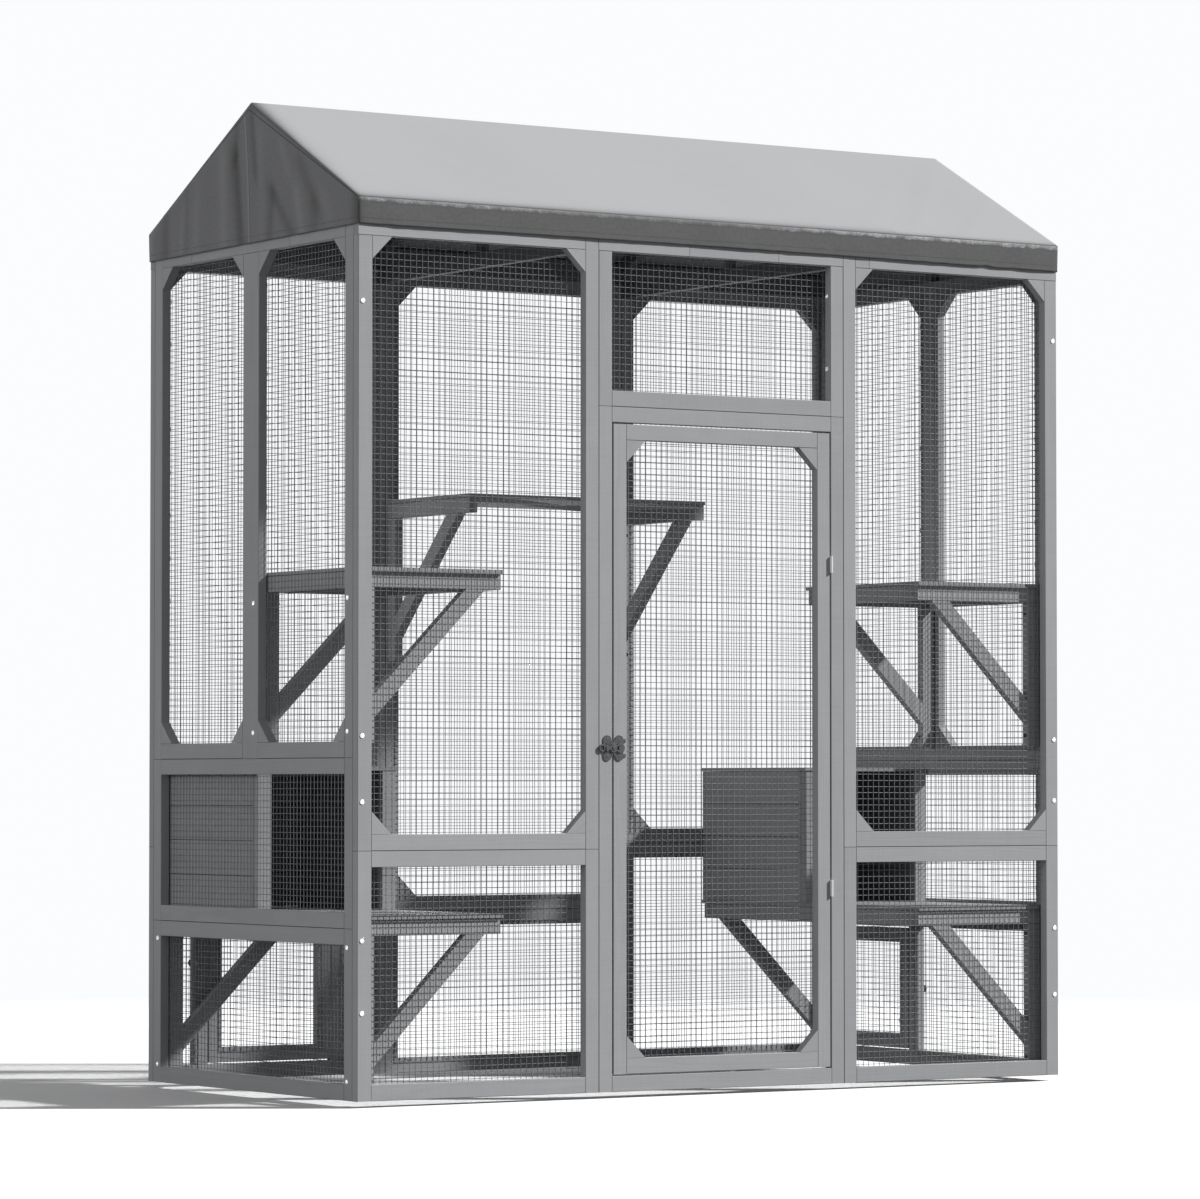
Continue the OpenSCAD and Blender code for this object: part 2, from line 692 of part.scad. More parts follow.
module front_left_lower_frame() centred() on_front() color(wood) panel(left_col, low_rows);
module front_left_upper_frame() centred() on_front() color(wood)
    braced_panel(left_col, high_rows, over_left = true);
module door_frame() centred() on_front() color(wood) panel(mid_col, door_rows);
module transom_frame() centred() on_front() color(wood)
    panel(mid_col, transom_rows, over_left = true, over_right = true, cuts = transom_cuts);
module front_right_lower_frame() centred() on_front() color(wood) panel(right_col, low_rows);
module front_right_upper_frame() centred() on_front() color(wood)
    braced_panel(right_col, high_rows, over_right = true, cuts = right_cuts);
module main_door() centred() on_front() color(wood)
    braced_panel(main_door_u, main_door_rows);

module back_left_lower_frame() centred() on_back() color(wood) {
    panel(left_col, low_rows);
    inner_post(back_door_u - stick_w, low_rows);
    inner_post(back_door_u + back_door_w, low_rows);
}
module back_left_upper_frame() centred() on_back() color(wood)
    braced_panel(left_col, high_rows, over_left = true);
module back_centre_lower_frame() centred() on_back() color(wood)
    panel(mid_col, back_low_rows);
module back_centre_upper_frame() centred() on_back() color(wood)
    braced_panel(mid_col, back_high_rows, over_left = true, over_right = true);
module back_right_lower_frame() centred() on_back() color(wood) panel(right_col, low_rows);
module back_right_upper_frame() centred() on_back() color(wood)
    braced_panel(right_col, high_rows, over_right = true);
module back_pet_door() centred() on_back() color(wood)
    panel(back_door_span, back_door_rows);

module left_end_lower_frame() centred() on_left_end() color(wood_dim)
    panel(end_span, end_low_rows);
module left_end_middle_frame() centred() on_left_end() color(wood_dim)
    panel(end_span, end_mid_rows);
module left_end_upper_frame() centred() on_left_end() color(wood_dim)
    end_windows_panel(end_span, end_high_rows);
module right_end_lower_frame() centred() on_right_end() color(wood_dim) {
    panel(end_span, end_low_rows);
    inner_post(end_door_u - stick_w, end_low_rows);
}
module right_end_middle_frame() centred() on_right_end() color(wood_dim)
    panel(end_span, end_mid_rows);
module right_end_upper_frame() centred() on_right_end() color(wood_dim)
    end_windows_panel(end_span, end_high_rows);
module end_pet_door() centred() on_right_end() color(wood_dim)
    panel(end_door_span, end_door_rows);

module column_nets(us, lows, highs) {
    net(window(us), window(lows));
    net(window(us), window(highs));
}
module end_windows_nets() {
    mid = (end_span[0] + end_span[1]) / 2;
    net([end_span[0] + stick_w, mid - mid_post_w / 2], window(end_high_rows));
    net([mid + mid_post_w / 2, end_span[1] - stick_w], window(end_high_rows));
    net(window(end_span), window(end_mid_rows));
}
module front_left_nets() centred() on_front() color(wire_grey) column_nets(left_col, low_rows, high_rows);
module front_right_nets() centred() on_front() color(wire_grey)
    column_nets(right_col, low_rows, high_rows);
module transom_net() centred() on_front() color(wire_grey) net(window(mid_col), window(transom_rows));
module main_door_net() centred() on_front() color(wire_grey)
    net(window(main_door_u), window(main_door_rows));
module back_left_nets() centred() on_back() color(wire_grey) {
    net(back_left_window, window(low_rows));
    net(back_right_window, window(low_rows));
    net(window(left_col), window(high_rows));
}
module back_centre_nets() centred() on_back() color(wire_grey)
    column_nets(mid_col, back_low_rows, back_high_rows);
module back_right_nets() centred() on_back() color(wire_grey)
    column_nets(right_col, low_rows, high_rows);
module back_pet_door_net() centred() on_back() color(wire_grey)
    net(window(back_door_span), window(back_door_rows));
module left_end_nets() centred() on_left_end() color(wire_grey) {
    end_windows_nets();
    net(window(end_span), window(end_low_rows));
}
module right_end_nets() centred() on_right_end() color(wire_grey) {
    end_windows_nets();
    net(end_low_window, window(end_low_rows));
}
module end_pet_door_net() centred() on_right_end() color(wire_grey)
    net(window(end_door_span), window(end_door_rows));

module left_low_shelf() centred() on_left_end() color(wood_dim)
    shelf(side_u, arm_z[0], side_reach, bracket_inset);
module right_low_shelf() centred() on_right_end() color(wood_dim)
    shelf(side_u, arm_z[0], side_reach, bracket_inset);
module left_middle_shelf() centred() on_left_end() color(wood_dim)
    shelf(mid_shelf_u, arm_z[1], side_reach, bracket_inset);
module right_middle_shelf() centred() on_right_end() color(wood_dim)
    shelf(mid_shelf_u, arm_z[1], side_reach, bracket_inset);
module back_high_shelf() centred() on_back() color(wood_dim) {
    bracket_pair(back_shelf_u, arm_z[2], back_reach, back_inset);
    bowed_batten(between_brackets(back_shelf_u, back_inset),
        room + back_reach - batten_t, deck_z[2]);
}
module side_decks() {
    deck(side_u, deck_z[0], side_reach);
    deck(mid_shelf_u, deck_z[1], side_reach);
}
module left_decks() centred() on_left_end() color(wood_dim) side_decks();
module right_decks() centred() on_right_end() color(wood_dim) side_decks();
module back_deck() centred() on_back() color(wood_dim) deck(back_shelf_u, deck_z[2], back_reach);
module left_sleeping_box() centred() on_left_end() color(wood_dim) sleeping_box();
module right_sleeping_box() centred() on_right_end() color(wood_dim) sleeping_box();

module eave_rails() centred() color(wood) {
    h = roof_under(0) - wall_h - joint_gap;
    size = [length, stick_t, h];
    beam_x([0, 0, wall_h + joint_gap], size);
    beam_x([0, depth - stick_t, wall_h + joint_gap], size);
}
module ridge_beam() centred() color(wood) along_x() linear_extrude(height = length) ridge_section();
module end_trusses() centred() color(wood) {
    truss(0);
    truss(length - stick_t);
}
module tie_trusses() centred() color(wood)
    for (x = truss_u) {
        truss(x - stick_t / 2);
        beam_y([x - stick_t / 2, stick_t + joint_gap, wall_h - stick_w],
            [stick_t, depth - 2 * (stick_t + joint_gap), stick_w]);
    }
module roof_cover() centred() color(cover_grey) cover_sheet();

module fixed_hinge_leaves() centred() color(steel) {
    on_front() fixed_leaves(main_axis_u, main_hinge_z);
    on_back() fixed_leaves(back_axis_u, back_hinges);
    on_right_end() fixed_leaves(end_axis_u, end_hinges);
}
module main_door_hinge_leaves() centred() on_front() color(steel) door_leaves(main_axis_u, main_hinge_z);
module back_pet_door_hinge_leaves() centred() on_back() color(steel)
    door_leaves(back_axis_u, back_hinges);
module end_pet_door_hinge_leaves() centred() on_right_end() color(steel)
    door_leaves(end_axis_u, end_hinges);

module latch_keepers() centred() color(latch_grey) {
    on_front() latch_keeper(main_rivet);
    on_back() latch_keeper(back_rivet);
    on_right_end() latch_keeper(end_rivet);
}
module main_latch_plate() centred() on_front() color(latch_grey) latch_plate(main_rivet);
module back_pet_latch_plate() centred() on_back() color(latch_grey) latch_plate(back_rivet);
module end_pet_latch_plate() centred() on_right_end() color(latch_grey) latch_plate(end_rivet);
module main_latch_lever() centred() on_front() color(latch_grey) latch_lever(main_rivet);
module back_pet_latch_lever() centred() on_back() color(latch_grey) latch_lever(back_rivet);
module end_pet_latch_lever() centred() on_right_end() color(latch_grey) latch_lever(end_rivet);

module panel_screws() centred() color(white) {
    on_front() screw_heads(corner_screws);
    on_back() screw_heads(concat(corner_screws, back_screws));
    on_left_end() screw_heads(end_screws);
    on_right_end() screw_heads(end_screws);
}

front_left_lower_frame();
front_left_upper_frame();
door_frame();
transom_frame();
front_right_lower_frame();
front_right_upper_frame();
main_door();
back_left_lower_frame();
back_left_upper_frame();
back_centre_lower_frame();
back_centre_upper_frame();
back_right_lower_frame();
back_right_upper_frame();
back_pet_door();
left_end_lower_frame();
left_end_middle_frame();
left_end_upper_frame();
right_end_lower_frame();
right_end_middle_frame();
right_end_upper_frame();
end_pet_door();
front_left_nets();
front_right_nets();
transom_net();
main_door_net();
back_left_nets();
back_centre_nets();
back_right_nets();
back_pet_door_net();
left_end_nets();
right_end_nets();
end_pet_door_net();
left_low_shelf();
right_low_shelf();
left_middle_shelf();
right_middle_shelf();
back_high_shelf();
left_decks();
right_decks();
back_deck();
left_sleeping_box();
right_sleeping_box();
eave_rails();
ridge_beam();
end_trusses();
tie_trusses();
roof_cover();
fixed_hinge_leaves();
main_door_hinge_leaves();
back_pet_door_hinge_leaves();
end_pet_door_hinge_leaves();
latch_keepers();
main_latch_plate();
back_pet_latch_plate();
end_pet_latch_plate();
main_latch_lever();
back_pet_latch_lever();
end_pet_latch_lever();
panel_screws();
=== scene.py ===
"""Outdoor cat enclosure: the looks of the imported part.

Stained fir sticks, welded nets, a sewn cover of coated cloth, screws, staples and
latches are laid over the CAD nodes, in metres, in the part's own frame: the middle of
the base is the origin, the walk-in door faces -Y and +Z is up.
"""

import bisect
import json
import math
import random

import bmesh
import bpy
from mathutils import Matrix, Vector, noise

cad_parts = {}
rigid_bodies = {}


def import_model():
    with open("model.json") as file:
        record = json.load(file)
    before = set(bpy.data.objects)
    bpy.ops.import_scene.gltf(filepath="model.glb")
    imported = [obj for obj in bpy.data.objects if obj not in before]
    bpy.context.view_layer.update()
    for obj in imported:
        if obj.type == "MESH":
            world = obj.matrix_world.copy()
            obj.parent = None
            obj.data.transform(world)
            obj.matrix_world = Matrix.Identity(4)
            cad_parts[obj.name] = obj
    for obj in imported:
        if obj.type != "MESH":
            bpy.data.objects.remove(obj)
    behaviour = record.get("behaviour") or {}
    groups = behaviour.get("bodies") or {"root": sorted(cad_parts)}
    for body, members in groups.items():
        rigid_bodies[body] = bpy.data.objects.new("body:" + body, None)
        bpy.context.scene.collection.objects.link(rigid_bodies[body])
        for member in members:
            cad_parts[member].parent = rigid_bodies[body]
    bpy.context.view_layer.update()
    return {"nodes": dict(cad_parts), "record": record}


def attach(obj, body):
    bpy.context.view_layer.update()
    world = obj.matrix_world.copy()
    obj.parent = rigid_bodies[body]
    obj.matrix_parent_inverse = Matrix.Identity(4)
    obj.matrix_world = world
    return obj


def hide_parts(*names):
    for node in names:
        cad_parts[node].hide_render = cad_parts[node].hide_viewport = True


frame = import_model()
MM = 0.001

# Camera: the photograph's own, 9 m away, low, with a long lens
camera_data = bpy.data.cameras.new("studio_camera")
camera_data.lens = 155.64
camera_data.sensor_width = 36.0
camera_data.clip_start = 0.1
camera_data.clip_end = 200.0
camera = bpy.data.objects.new("studio_camera", camera_data)
camera.location = (-6.0451, -9.2010, 0.6209)
camera.rotation_euler = (math.radians(92.0396), 0.0, math.radians(-33.2141))
bpy.context.scene.collection.objects.link(camera)
bpy.context.scene.camera = camera

# Small tools


def tint(code):
    """A linear colour from an sRGB hex code."""
    parts = [int(code[i:i + 2], 16) / 255 for i in (1, 3, 5)]
    line = [p / 12.92 if p <= 0.04045 else ((p + 0.055) / 1.055) ** 2.4 for p in parts]
    return (*line, 1.0)


def add(tree, kind, settings=None, inputs=None):
    """Adds one node with its settings, and values or links for its inputs."""
    made = tree.nodes.new(kind)
    for key, value in (settings or {}).items():
        setattr(made, key, value)
    for key, value in (inputs or {}).items():
        if isinstance(value, bpy.types.Node):
            value = value.outputs[0]
        if isinstance(value, bpy.types.NodeSocket):
            tree.links.new(value, made.inputs[key])
        else:
            made.inputs[key].default_value = value
    return made


def blank(name):
    """An empty node material."""
    finish = bpy.data.materials.new(name)
    finish.use_nodes = True
    finish.node_tree.nodes.clear()
    return finish, finish.node_tree


def close(tree, surface):
    """Ends a material's tree in its output."""
    add(tree, "ShaderNodeOutputMaterial", None, {"Surface": surface})


def seat(piece, body, slot, *nodes):
    """Puts a finished piece on its body, in place of its CAD nodes; its slot is not used."""
    if nodes:
        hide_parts(*nodes)
    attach(piece, body)
    return piece


def body_of(node):
    """The body that a CAD node belongs to."""
    bodies = frame["record"]["behaviour"]["bodies"]
    return next(body for body, members in bodies.items() if node in members)


def linked(name, data):
    """A new object in the scene."""
    piece = bpy.data.objects.new(name, data)
    bpy.context.scene.collection.objects.link(piece)
    return piece


def settled(piece, modifier):
    """The plain mesh that a piece's only modifier makes of it. The modifier goes."""
    graph = bpy.context.evaluated_depsgraph_get()
    graph.update()
    mesh = bpy.data.meshes.new_from_object(piece.evaluated_get(graph))
    piece.modifiers.remove(modifier)
    return mesh


def grown(tree, seed_mesh, values):
    """Runs a Geometry Nodes tree over a mesh and gives back a plain mesh."""
    holder = linked("growing", seed_mesh)
    modifier = holder.modifiers.new("tree", "NODES")
    modifier.node_group = tree
    for item in tree.interface.items_tree:
        if item.item_type == "SOCKET" and item.in_out == "INPUT" and item.name in values:
            modifier[item.identifier] = values[item.name]
    mesh = settled(holder, modifier)
    bpy.data.objects.remove(holder)
    return mesh


def finished(work, name, outwards=False):
    """The mesh of a finished bmesh, with its faces turned outwards where asked."""
    if outwards:
        bmesh.ops.recalc_face_normals(work, faces=work.faces)
    mesh = bpy.data.meshes.new(name)
    work.to_mesh(mesh)
    work.free()
    return mesh


def joined(name, meshes):
    """One mesh out of several that share one finish."""
    whole = bmesh.new()
    for mesh in meshes:
        whole.from_mesh(mesh)
    mesh = finished(whole, name)
    mesh.materials.append(meshes[0].materials[0])
    return mesh


def lofted(work, rings):
    """Skins rings of vertices, caps the first and the last, and gives back the skin."""
    skin = []
    for a, b in zip(rings, rings[1:]):
        for k in range(len(a)):
            m = (k + 1) % len(a)
            skin.append(work.faces.new((a[k], a[m], b[m], b[k])))
    work.faces.new(rings[0][::-1])
    work.faces.new(rings[-1])
    return skin


# The walls' outer faces are those of the frame at the front left corner
corner = [v.co for v in frame["nodes"]["front_left_lower_frame"].data.vertices]
HALF_LONG = round(-min(co.x for co in corner), 4)
HALF_DEEP = round(-min(co.y for co in corner), 4)


def wall_ways(right, inwards, start):
    """Takes a wall's u to the right, y inwards from its outer face and z up, all in
    metres, into the part's frame."""
    turn = Matrix((right, inwards, (0, 0, 1))).transposed()
    return Matrix.Translation(start) @ turn.to_4x4()


WALLS = {
    "front": wall_ways((1, 0, 0), (0, 1, 0), (-HALF_LONG, -HALF_DEEP, 0)),
    "back": wall_ways((1, 0, 0), (0, -1, 0), (-HALF_LONG, HALF_DEEP, 0)),
    "left": wall_ways((0, 1, 0), (1, 0, 0), (-HALF_LONG, -HALF_DEEP, 0)),
    "right": wall_ways((0, 1, 0), (-1, 0, 0), (HALF_LONG, -HALF_DEEP, 0)),
}


def on_wall(mesh, wall):
    """Carries a mesh from a wall's own directions into the part's frame."""
    mesh.transform(WALLS[wall])
    if WALLS[wall].determinant() < 0:
        mesh.flip_normals()
    return mesh


def wall_place(wall, u, y, z):
    """A place on a wall, from millimetres."""
    return WALLS[wall] @ (Vector((u, y, z)) * MM)


def wall_way(wall, way):
    """A direction on a wall."""
    return (WALLS[wall].to_3x3() @ Vector(way)).normalized()


# Finishes

# The fir's figure in mm: its growth rings, the length and width of their drift, of its
# fibres, of the stain's clouds and of the planer marks, and the stain's blotches
RING_GAP = 3.4
RING_DRIFT = (400, 71.4)
FIBRE = (143, 1.11)
STAIN_CLOUD = (200, 29.4)
PLANER_MARK = (3.03, 111)
STAIN_BLOTCH = 62.5


def per_metre(along, across):
    """Scale of a pattern whose features have that length and width in millimetres."""
    return (1000 / along, 1000 / across, 1000 / across)


def stained_fir(name, pale, deep):
    """Planed fir under a thin grey stain: an even matt grey, with the growth rings and
    fibres just showing through, faint planer marks across the stick, end grain that drank
    more stain, and arrises that hold it in the joints."""
    finish, tree = blank(name)
    grain = add(tree, "ShaderNodeAttribute", {"attribute_name": "grain"}).outputs["Vector"]
    tone = add(tree, "ShaderNodeAttribute", {"attribute_name": "tone"}).outputs["Fac"]
    end = add(tree, "ShaderNodeAttribute", {"attribute_name": "end_face"}).outputs["Fac"]
    arris = add(tree, "ShaderNodeAttribute", {"attribute_name": "arris"}).outputs["Fac"]
    # The rings lie round a pith outside the stick and drift by up to 16 mm
    drift = add(tree, "ShaderNodeTexNoise", None, {
        "Vector": add(tree, "ShaderNodeMapping", None, {
            "Vector": grain, "Scale": per_metre(*RING_DRIFT)}),
        "Scale": 1.0, "Detail": 3.0})
    spread = add(tree, "ShaderNodeVectorMath", {"operation": "MULTIPLY"}, {0: grain, 1: (0, 1, 1)})
    radius = add(tree, "ShaderNodeVectorMath", {"operation": "LENGTH"}, {0: spread}).outputs["Value"]
    bent = add(tree, "ShaderNodeMath", {"operation": "MULTIPLY_ADD"}, {0: drift, 1: 16 * MM, 2: radius})
    turns = add(tree, "ShaderNodeMath", {"operation": "DIVIDE"}, {0: bent, 1: RING_GAP * MM})
    season = add(tree, "ShaderNodeMath", {"operation": "FRACT"}, {0: turns})
    # Late wood darkens slowly through the summer and ends at once
    late = add(tree, "ShaderNodeValToRGB", None, {"Fac": season})
    late.color_ramp.elements[0].position = 0.35
    late.color_ramp.elements[0].color = (0, 0, 0, 1)
    late.color_ramp.elements[1].position = 0.86
    late.color_ramp.elements[1].color = (1, 1, 1, 1)
    last = late.color_ramp.elements.new(0.98)
    last.color = (0.1, 0.1, 0.1, 1)
    fibre = add(tree, "ShaderNodeTexNoise", None, {
        "Vector": add(tree, "ShaderNodeMapping", None, {"Vector": grain, "Scale": per_metre(*FIBRE)}),
        "Scale": 1.0, "Detail": 2.0, "Roughness": 0.6})
    cloud = add(tree, "ShaderNodeTexNoise", None, {
        "Vector": add(tree, "ShaderNodeMapping", None, {
            "Vector": grain, "Scale": per_metre(*STAIN_CLOUD)}),
        "Scale": 1.0, "Detail": 4.0, "Roughness": 0.55})
    blotch = add(tree, "ShaderNodeTexNoise", None, {
        "Vector": grain, "Scale": 1000 / STAIN_BLOTCH, "Detail": 5.0})
    planed = add(tree, "ShaderNodeTexNoise", None, {
        "Vector": add(tree, "ShaderNodeMapping", None, {
            "Vector": grain, "Scale": per_metre(*PLANER_MARK)}),
        "Scale": 1.0, "Detail": 1.0})
    # From the deep colour at 0 to the pale one at 1: the stick's own tone, then each
    # source with its weight, and at last a shift that centres them all
    share = add(tree, "ShaderNodeMath", {"operation": "MULTIPLY_ADD"}, {0: tone, 1: 0.12, 2: 0.60})
    for source, weight in ((late.outputs["Color"], -0.12), (fibre.outputs["Fac"], 0.26),
                           (cloud.outputs["Fac"], 0.44), (blotch.outputs["Fac"], 0.28),
                           (planed.outputs["Fac"], 0.24), (end, -0.50), (arris, -0.30)):
        share = add(tree, "ShaderNodeMath", {"operation": "MULTIPLY_ADD"}, {
            0: source, 1: weight, 2: share})
    centred = add(tree, "ShaderNodeMath", {"operation": "SUBTRACT", "use_clamp": True}, {
        0: share, 1: 0.66})
    colour = add(tree, "ShaderNodeMix", {"data_type": "RGBA"}, {"Factor": centred})
    colour.inputs["A"].default_value = tint(deep)
    colour.inputs["B"].default_value = tint(pale)
    rough = add(tree, "ShaderNodeMapRange", None, {
        "Value": fibre.outputs["Fac"], "To Min": 0.58, "To Max": 0.74})
    # The brush lifts the fibres, and the hard late wood stands a little proud
    relief = add(tree, "ShaderNodeMath", {"operation": "MULTIPLY_ADD"}, {
        0: late.outputs["Color"], 1: 0.45, 2: fibre.outputs["Fac"]})
    bump = add(tree, "ShaderNodeBump", None, {
        "Height": relief, "Strength": 0.35, "Distance": 0.4 * MM})
    close(tree, add(tree, "ShaderNodeBsdfPrincipled", None, {
        "Base Color": colour.outputs["Result"], "Roughness": rough.outputs["Result"],
        "Normal": bump, "IOR": 1.48, "Specular IOR Level": 0.3}).outputs["BSDF"])
    return finish


# A cloud in a plain coat is as wide as this many of its grains
CLOUD_TO_GRAIN = 14


def plain_finish(name, pale, deep, spacing, roughness, depth, metallic=0.0, specks=0.0):
    """A coat on metal: a base colour that clouds a little, fine relief with grains
    `spacing` mm apart and `depth` mm deep, and specks where the coat has gone dull."""
    finish, tree = blank(name)
    place = add(tree, "ShaderNodeTexCoord").outputs["Object"]
    cloud = add(tree, "ShaderNodeTexNoise", None, {
        "Vector": place, "Scale": 1000 / (CLOUD_TO_GRAIN * spacing), "Detail": 4.0})
    fine = add(tree, "ShaderNodeTexNoise", None, {
        "Vector": place, "Scale": 1000 / spacing, "Detail": 3.0})
    dull = add(tree, "ShaderNodeMapRange", None, {
        "Value": fine, "From Min": 0.60, "From Max": 0.72, "To Max": specks})
    share = add(tree, "ShaderNodeMath", {"operation": "SUBTRACT", "use_clamp": True}, {
        0: cloud, 1: dull.outputs["Result"]})
    colour = add(tree, "ShaderNodeMix", {"data_type": "RGBA"}, {"Factor": share})
    colour.inputs["A"].default_value = tint(deep)
    colour.inputs["B"].default_value = tint(pale)
    rough = add(tree, "ShaderNodeMapRange", None, {
        "Value": cloud, "To Min": roughness - 0.07, "To Max": roughness + 0.07})
    bump = add(tree, "ShaderNodeBump", None, {
        "Height": fine, "Strength": 0.3, "Distance": depth * MM})
    close(tree, add(tree, "ShaderNodeBsdfPrincipled", None, {
        "Base Color": colour.outputs["Result"], "Metallic": metallic,
        "Roughness": rough.outputs["Result"], "Normal": bump}).outputs["BSDF"])
    return finish


# The cloth's figure in mm: its threads, clouds of dust, mottles of grime, rubbed specks and
# patches, and ripples. The threads are really under 1 mm apart: they are drawn coarser, so
# that close views can show them
THREAD_GAP = 2.6
DUST = 41.7
GRIME = 7.7
SPECK = 4.35
PATCH = 31.25
RIPPLE = 22.2


def coated_cloth(name, shaded, lit_colour, line):
    """Coated polyester canvas: a close plain weave under a thin matt film. One grey cloth whose
    colour carries painted light and shade, from the shaded hanging parts to the sunlit roof;
    `crease` paints shade into the valleys of its folds and highlights onto their ridges. The sewn
    lines are dark, and the cloth is rubbed pale in a speckled band below the eave seam.
    The maps `edges` and `seams` hold distances in metres along the cloth."""
    finish, tree = blank(name)
    cut = add(tree, "ShaderNodeUVMap", {"uv_map": "cut"}).outputs["UV"]
    edges = add(tree, "ShaderNodeSeparateXYZ", None, {
        0: add(tree, "ShaderNodeUVMap", {"uv_map": "edges"})})
    seams = add(tree, "ShaderNodeSeparateXYZ", None, {
        0: add(tree, "ShaderNodeUVMap", {"uv_map": "seams"})})
    eave, hem = edges.outputs["X"], edges.outputs["Y"]
    fold, middle = seams.outputs["X"], seams.outputs["Y"]
    bleach = add(tree, "ShaderNodeAttribute", {"attribute_name": "bleach"}).outputs["Fac"]
    crease = add(tree, "ShaderNodeAttribute", {"attribute_name": "crease"}).outputs["Fac"]
    # At a scale of 1 the wave texture repeats after a twentieth of a turn
    threads = []
    for way in ("X", "Y"):
        threads.append(add(tree, "ShaderNodeTexWave", {"bands_direction": way}, {
            "Vector": cut, "Scale": 2 * math.pi / 20 * 1000 / THREAD_GAP, "Distortion": 0.6,
            "Detail": 1.0, "Detail Scale": 2.0}).outputs["Fac"])
    weave = add(tree, "ShaderNodeMath", {"operation": "MULTIPLY"}, {0: threads[0], 1: threads[1]})
    dust = add(tree, "ShaderNodeTexNoise", None, {
        "Vector": cut, "Scale": 1000 / DUST, "Detail": 6.0, "Roughness": 0.6})
    grime = add(tree, "ShaderNodeTexNoise", None, {"Vector": cut, "Scale": 1000 / GRIME, "Detail": 4.0})
    speck = add(tree, "ShaderNodeTexNoise", None, {"Vector": cut, "Scale": 1000 / SPECK, "Detail": 2.0})
    patch = add(tree, "ShaderNodeTexNoise", None, {"Vector": cut, "Scale": 1000 / PATCH, "Detail": 4.0})
    # The rubbed band starts 1 to 3 mm below the seam and ends raggedly about 9 mm below it
    ragged = add(tree, "ShaderNodeMath", {"operation": "MULTIPLY_ADD"}, {0: patch, 1: 16 * MM, 2: eave})
    starts = add(tree, "ShaderNodeMapRange", {"interpolation_type": "SMOOTHSTEP"}, {
        "Value": eave, "From Min": -0.8 * MM, "From Max": -2.6 * MM})
    ends = add(tree, "ShaderNodeMapRange", {"interpolation_type": "SMOOTHSTEP"}, {
        "Value": ragged, "From Min": 1.0 * MM, "From Max": -3.0 * MM})
    rest = add(tree, "ShaderNodeMath", {"operation": "SUBTRACT"}, {0: 1.0, 1: ends})
    band = add(tree, "ShaderNodeMath", {"operation": "MULTIPLY"}, {0: starts, 1: rest})
    # It is rubbed most along the right half, least in the middle
    along = add(tree, "ShaderNodeSeparateXYZ", None, {0: cut}).outputs["X"]
    rubbed = 0.17
    for start, end, strength in ((-0.25, -0.60, 0.20), (0.00, 0.35, 0.42)):
        part = add(tree, "ShaderNodeMapRange", {"interpolation_type": "SMOOTHSTEP"}, {
            "Value": along, "From Min": start, "From Max": end, "To Max": strength})
        rubbed = add(tree, "ShaderNodeMath", {"operation": "ADD"}, {0: part, 1: rubbed})
    worn = add(tree, "ShaderNodeMath", {"operation": "MULTIPLY"}, {0: rubbed, 1: band})
    for source, low, high in ((patch, 0.38, 0.62), (speck, 0.32, 0.68)):
        spread = add(tree, "ShaderNodeMapRange", None, {
            "Value": source, "From Min": low, "From Max": high, "To Min": 0.35, "To Max": 1.65})
        worn = add(tree, "ShaderNodeMath", {"operation": "MULTIPLY"}, {0: worn, 1: spread})
    # How light the cloth is: its painted light and the rubbing, then dust, grime and weave with
    # their weights, less what these three come to on average
    share = add(tree, "ShaderNodeMath", {"operation": "ADD"}, {0: worn, 1: bleach})
    for source, weight in ((dust.outputs["Fac"], 0.07), (grime.outputs["Fac"], 0.04), (weave, 0.02)):
        share = add(tree, "ShaderNodeMath", {"operation": "MULTIPLY_ADD"}, {
            0: source, 1: weight, 2: share})
    share = add(tree, "ShaderNodeMath", {"operation": "SUBTRACT", "use_clamp": True}, {
        0: share, 1: 0.06})
    colour = add(tree, "ShaderNodeMix", {"data_type": "RGBA"}, {"Factor": share})
    colour.inputs["A"].default_value = tint(shaded)
    colour.inputs["B"].default_value = tint(lit_colour)
    # The folds' painted shade and highlights take the colour down or up by at most about half
    depth = add(tree, "ShaderNodeMath", {"operation": "MULTIPLY_ADD"}, {0: crease, 1: 0.55, 2: 1.0})
    # The grime mottles the shaded hanging parts by 44 percent and the lit roof by 2 percent
    shaded_share = add(tree, "ShaderNodeMath", {"operation": "MULTIPLY_ADD"}, {0: bleach, 1: -0.42, 2: 0.44})
    mottle = add(tree, "ShaderNodeMath", {"operation": "SUBTRACT"}, {0: grime, 1: 0.5})
    mottle = add(tree, "ShaderNodeMath", {"operation": "MULTIPLY"}, {0: mottle, 1: shaded_share})
    depth = add(tree, "ShaderNodeMath", {"operation": "ADD"}, {0: depth, 1: mottle})
    # The centre seam is a turned ridge with a painted highlight, up to 5 mm to either side
    off = add(tree, "ShaderNodeMath", {"operation": "ABSOLUTE"}, {0: middle})
    ridge = add(tree, "ShaderNodeMapRange", {"interpolation_type": "SMOOTHSTEP"}, {
        "Value": off, "From Min": 1.4 * MM, "From Max": 5.0 * MM, "To Min": 0.42, "To Max": 0.0})
    depth = add(tree, "ShaderNodeMath", {"operation": "ADD"}, {0: depth, 1: ridge.outputs[0]})
    colour = add(tree, "ShaderNodeVectorMath", {"operation": "SCALE"}, {
        0: colour.outputs["Result"], "Scale": depth})
